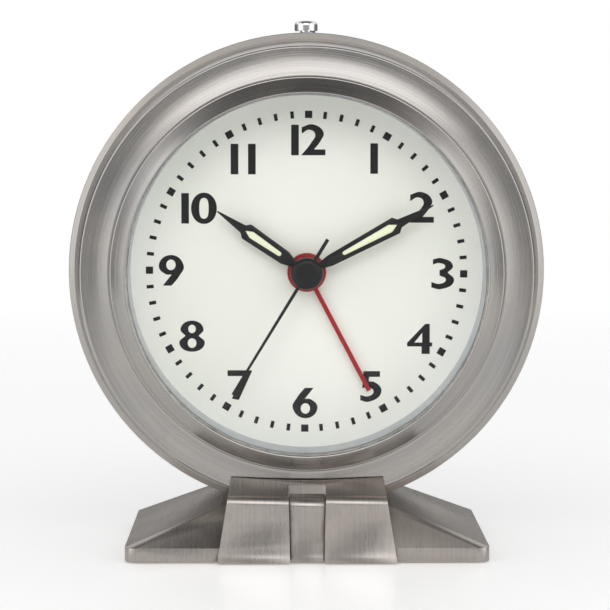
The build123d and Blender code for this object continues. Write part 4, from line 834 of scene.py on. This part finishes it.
def printed(name, contours, place, turn=0.0):
    """Closed contours in the dial's plane as a thin raised solid of ink, its back sunk in the paint."""
    curve = bpy.data.curves.new(name, "CURVE")
    curve.dimensions = "2D"
    curve.fill_mode = "BOTH"
    curve.extrude = INK_HEIGHT
    curve.resolution_u = CURVE_STEPS
    for contour in contours:
        spline = curve.splines.new("BEZIER")
        spline.bezier_points.add(len(contour) - 1)
        spline.use_cyclic_u = True
        for point, (x, y, handle) in zip(spline.bezier_points, contour):
            point.co = (x, y, 0)
            point.handle_left_type = handle
            point.handle_right_type = handle
    shape = new_object(name, curve)
    bpy.context.view_layer.update()
    mesh = bpy.data.meshes.new_from_object(shape.evaluated_get(bpy.context.evaluated_depsgraph_get()))
    bpy.data.objects.remove(shape)
    upright = Matrix.Rotation(math.radians(90), 4, "X")
    mesh.transform(Matrix.Translation(place) @ Matrix.Rotation(turn, 4, "Y") @ upright)
    return mesh


def merged(name, meshes, material, body="root"):
    """One piece from several meshes, riding on a body."""
    whole = bmesh.new()
    for mesh in meshes:
        whole.from_mesh(mesh)
        bpy.data.meshes.remove(mesh)
    bmesh.ops.remove_doubles(whole, verts=whole.verts, dist=INK_WELD)
    bmesh.ops.recalc_face_normals(whole, faces=whole.faces)
    data = bpy.data.meshes.new(name)
    whole.to_mesh(data)
    whole.free()
    data.materials.append(material)
    piece = new_object(name, data)
    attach(piece, body)


def rectangle(width, height):
    x, y = width / 2, height / 2
    return angular((-x, -y), (x, -y), (x, y), (-x, y))


def minute_track(ink):
    """Sixty marks, square at the hours."""
    marks = []
    for minute in range(60):
        box = rectangle(*(MINUTE_MARK if minute % 5 else HOUR_MARK))
        angle = math.radians(6 * minute)
        marks.append(printed(f"mark_{minute}", [box], on_dial(TRACK_RADIUS, angle), angle + DIAL_TURN))
    merged("minute_track", marks, ink)


def sized(contour, start):
    """A digit's contour at its real size, from this start, with its middle at height 0."""
    return [((x + start) * NUMERAL_HEIGHT, (y - 0.5) * NUMERAL_HEIGHT, handle) for x, y, handle in contour]


def numerals(ink):
    """The hours, upright, centred on their circle."""
    for hour in range(1, 13):
        gap = LETTER_GAP.get(hour, 0)
        text = str(hour)
        start = -(sum(DIGITS[digit][0] for digit in text) + gap) / 2
        contours = []
        for digit in text:
            width, outlines = DIGITS[digit]
            contours += [sized(contour, start) for contour in outlines]
            start += width + gap
        radius = NUMERAL_RADIUS + NUMERAL_SHIFT.get(hour, 0)
        glyph = printed(f"numeral_{hour}", contours, on_dial(radius, math.radians(30 * hour)))
        merged(f"numeral_{hour}", [glyph], ink)


# Stage and light

# The floor is whole up to the first of these distances from the clock and gone at the second, in millimetres.
FLOOR_FADE = (350, 800)
FLOOR_TONES = (0.88, 0.91)
FLOOR_GLOW = 0.25


def floor():
    """A pale floor that thins out into the white round it, some way from the clock."""
    made, tree = new_material("floor")
    place = object_mm(tree)
    tooth = noise(tree, place, scale=0.4, detail=3.0)
    paper = add(
        tree,
        "ShaderNodeBsdfPrincipled",
        {
            "Base Color": mixed(tree, from_noise(tree, tooth), grey(FLOOR_TONES[0]), grey(FLOOR_TONES[1])),
            "Roughness": 0.3,
            "Specular IOR Level": 0.4,
            "Emission Color": grey(1),
            "Emission Strength": FLOOR_GLOW,
        },
    )
    clear = add(tree, "ShaderNodeBsdfTransparent")
    fade = ramp(tree, vector_math(tree, "LENGTH", place, result="Value"), 0, 1, *FLOOR_FADE)
    output(tree, add(tree, "ShaderNodeMixShader", {0: fade, 1: paper.outputs[0], 2: clear.outputs[0]}))
    data = bpy.data.meshes.new("floor")
    half = FLOOR_FADE[1] * MM
    corners = [(-half, -half, 0), (half, -half, 0), (half, half, 0), (-half, half, 0)]
    data.from_pydata(corners, [], [(0, 1, 2, 3)])
    data.materials.append(made)
    plane = new_object("floor", data)


# Each softbox of the studio: azimuth (0 from the front, 90 from the right), elevation, half width, half
# height, how soft its edge is, all in degrees, and its brightness.
SOFTBOXES = (
    (0, 33, 25, 15, 6, 2.25),
    (0, 60, 24, 8, 8, 0.5),
    (-42, 12, 9, 28, 8, 0.7),
    (42, 12, 9, 28, 8, 0.7),
    (-67, 10, 11, 32, 10, 1.5),
    (67, 10, 11, 32, 10, 1.5),
)
# A softbox lights only directions on its own side of the clock. Its light comes in between these cosines.
ON_ITS_SIDE = (0.05, 0.1)

# How bright the room is, and between which parts of the direction each brightness gives way to the next.
DARK_FRONT, BRIGHT_SIDE = 0.5, 1.0
FRONT_TO_SIDE = (0.3, 0.7)
FRONT_TO_BACK = (-0.2, 0.3)
LOW_BACK, HIGH_BACK = 0.2, 1.7
LOW_TO_HIGH = (0.2, 0.6)
# The share of the room's light that is left straight above.
DARK_ABOVE = 0.2
HIGH_TO_ABOVE = (0.55, 0.9)
# What the camera sees of it
WHITE = 1.0


def softbox(tree, direction, azimuth, elevation, half_width, half_height, soft, brightness):
    """How bright a rectangular softbox is, seen in this direction."""
    turn, rise = math.radians(azimuth), math.radians(elevation)
    ahead = Vector((math.sin(turn) * math.cos(rise), -math.cos(turn) * math.cos(rise), math.sin(rise)))
    across = Vector((math.cos(turn), math.sin(turn), 0))
    up = across.cross(ahead)
    facing = vector_math(tree, "DOT_PRODUCT", direction, ahead, result="Value")
    seen = ramp(tree, facing, 0, brightness, *ON_ITS_SIDE)
    for side, half in ((across, half_width), (up, half_height)):
        sideways = vector_math(tree, "DOT_PRODUCT", direction, side, result="Value")
        offset = math_node(tree, "ABSOLUTE", math_node(tree, "DIVIDE", sideways, facing))
        inner, outer = (math.tan(math.radians(half + edge * soft / 2)) for edge in (-1, 1))
        seen = math_node(tree, "MULTIPLY", seen, ramp(tree, offset, 1, 0, inner, outer))
    return seen


def room(tree, direction):
    """How bright the room is: dim in front, dark low behind and straight above, bright high behind."""
    parts = add(tree, "ShaderNodeSeparateXYZ", {0: direction}).outputs
    sides = ramp(tree, math_node(tree, "ABSOLUTE", parts["X"]), DARK_FRONT, BRIGHT_SIDE, *FRONT_TO_SIDE)
    back = ramp(tree, parts["Z"], LOW_BACK, HIGH_BACK, *LOW_TO_HIGH)
    walls = blended(tree, ramp(tree, parts["Y"], 0, 1, *FRONT_TO_BACK), sides, back)
    return math_node(tree, "MULTIPLY", walls, ramp(tree, parts["Z"], 1, DARK_ABOVE, *HIGH_TO_ABOVE))


def studio():
    """Softboxes over the camera and at both sides of a room, which the camera itself sees as plain white."""
    world = bpy.data.worlds.new("studio")
    bpy.context.scene.world = world
    world.use_nodes = True
    tree = world.node_tree
    tree.nodes.clear()
    direction = add(tree, "ShaderNodeTexCoord").outputs["Generated"]
    total = room(tree, direction)
    for box in SOFTBOXES:
        total = math_node(tree, "ADD", total, softbox(tree, direction, *box))
    lit = add(tree, "ShaderNodeBackground", {"Color": grey(1), "Strength": total}).outputs[0]
    plain = add(tree, "ShaderNodeBackground", {"Color": grey(1), "Strength": WHITE}).outputs[0]
    seen = add(tree, "ShaderNodeLightPath").outputs["Is Camera Ray"]
    shown = add(tree, "ShaderNodeMixShader", {0: seen, 1: lit, 2: plain}).outputs[0]
    add(tree, "ShaderNodeOutputWorld", {"Surface": shown})


def exposure():
    """Tones shown as they are, with no film curve."""
    scene = bpy.context.scene
    scene.view_settings.view_transform = "Standard"
    scene.view_settings.look = "None"


camera()
materials = finishes()
dress(materials)
for name, width in EDGE_ROUNDS.items():
    soften(name, width, nodes[name]["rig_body"])
turn_bezel()
springy()
minute_track(materials["hand_black"])
numerals(materials["hand_black"])
floor()
studio()
exposure()
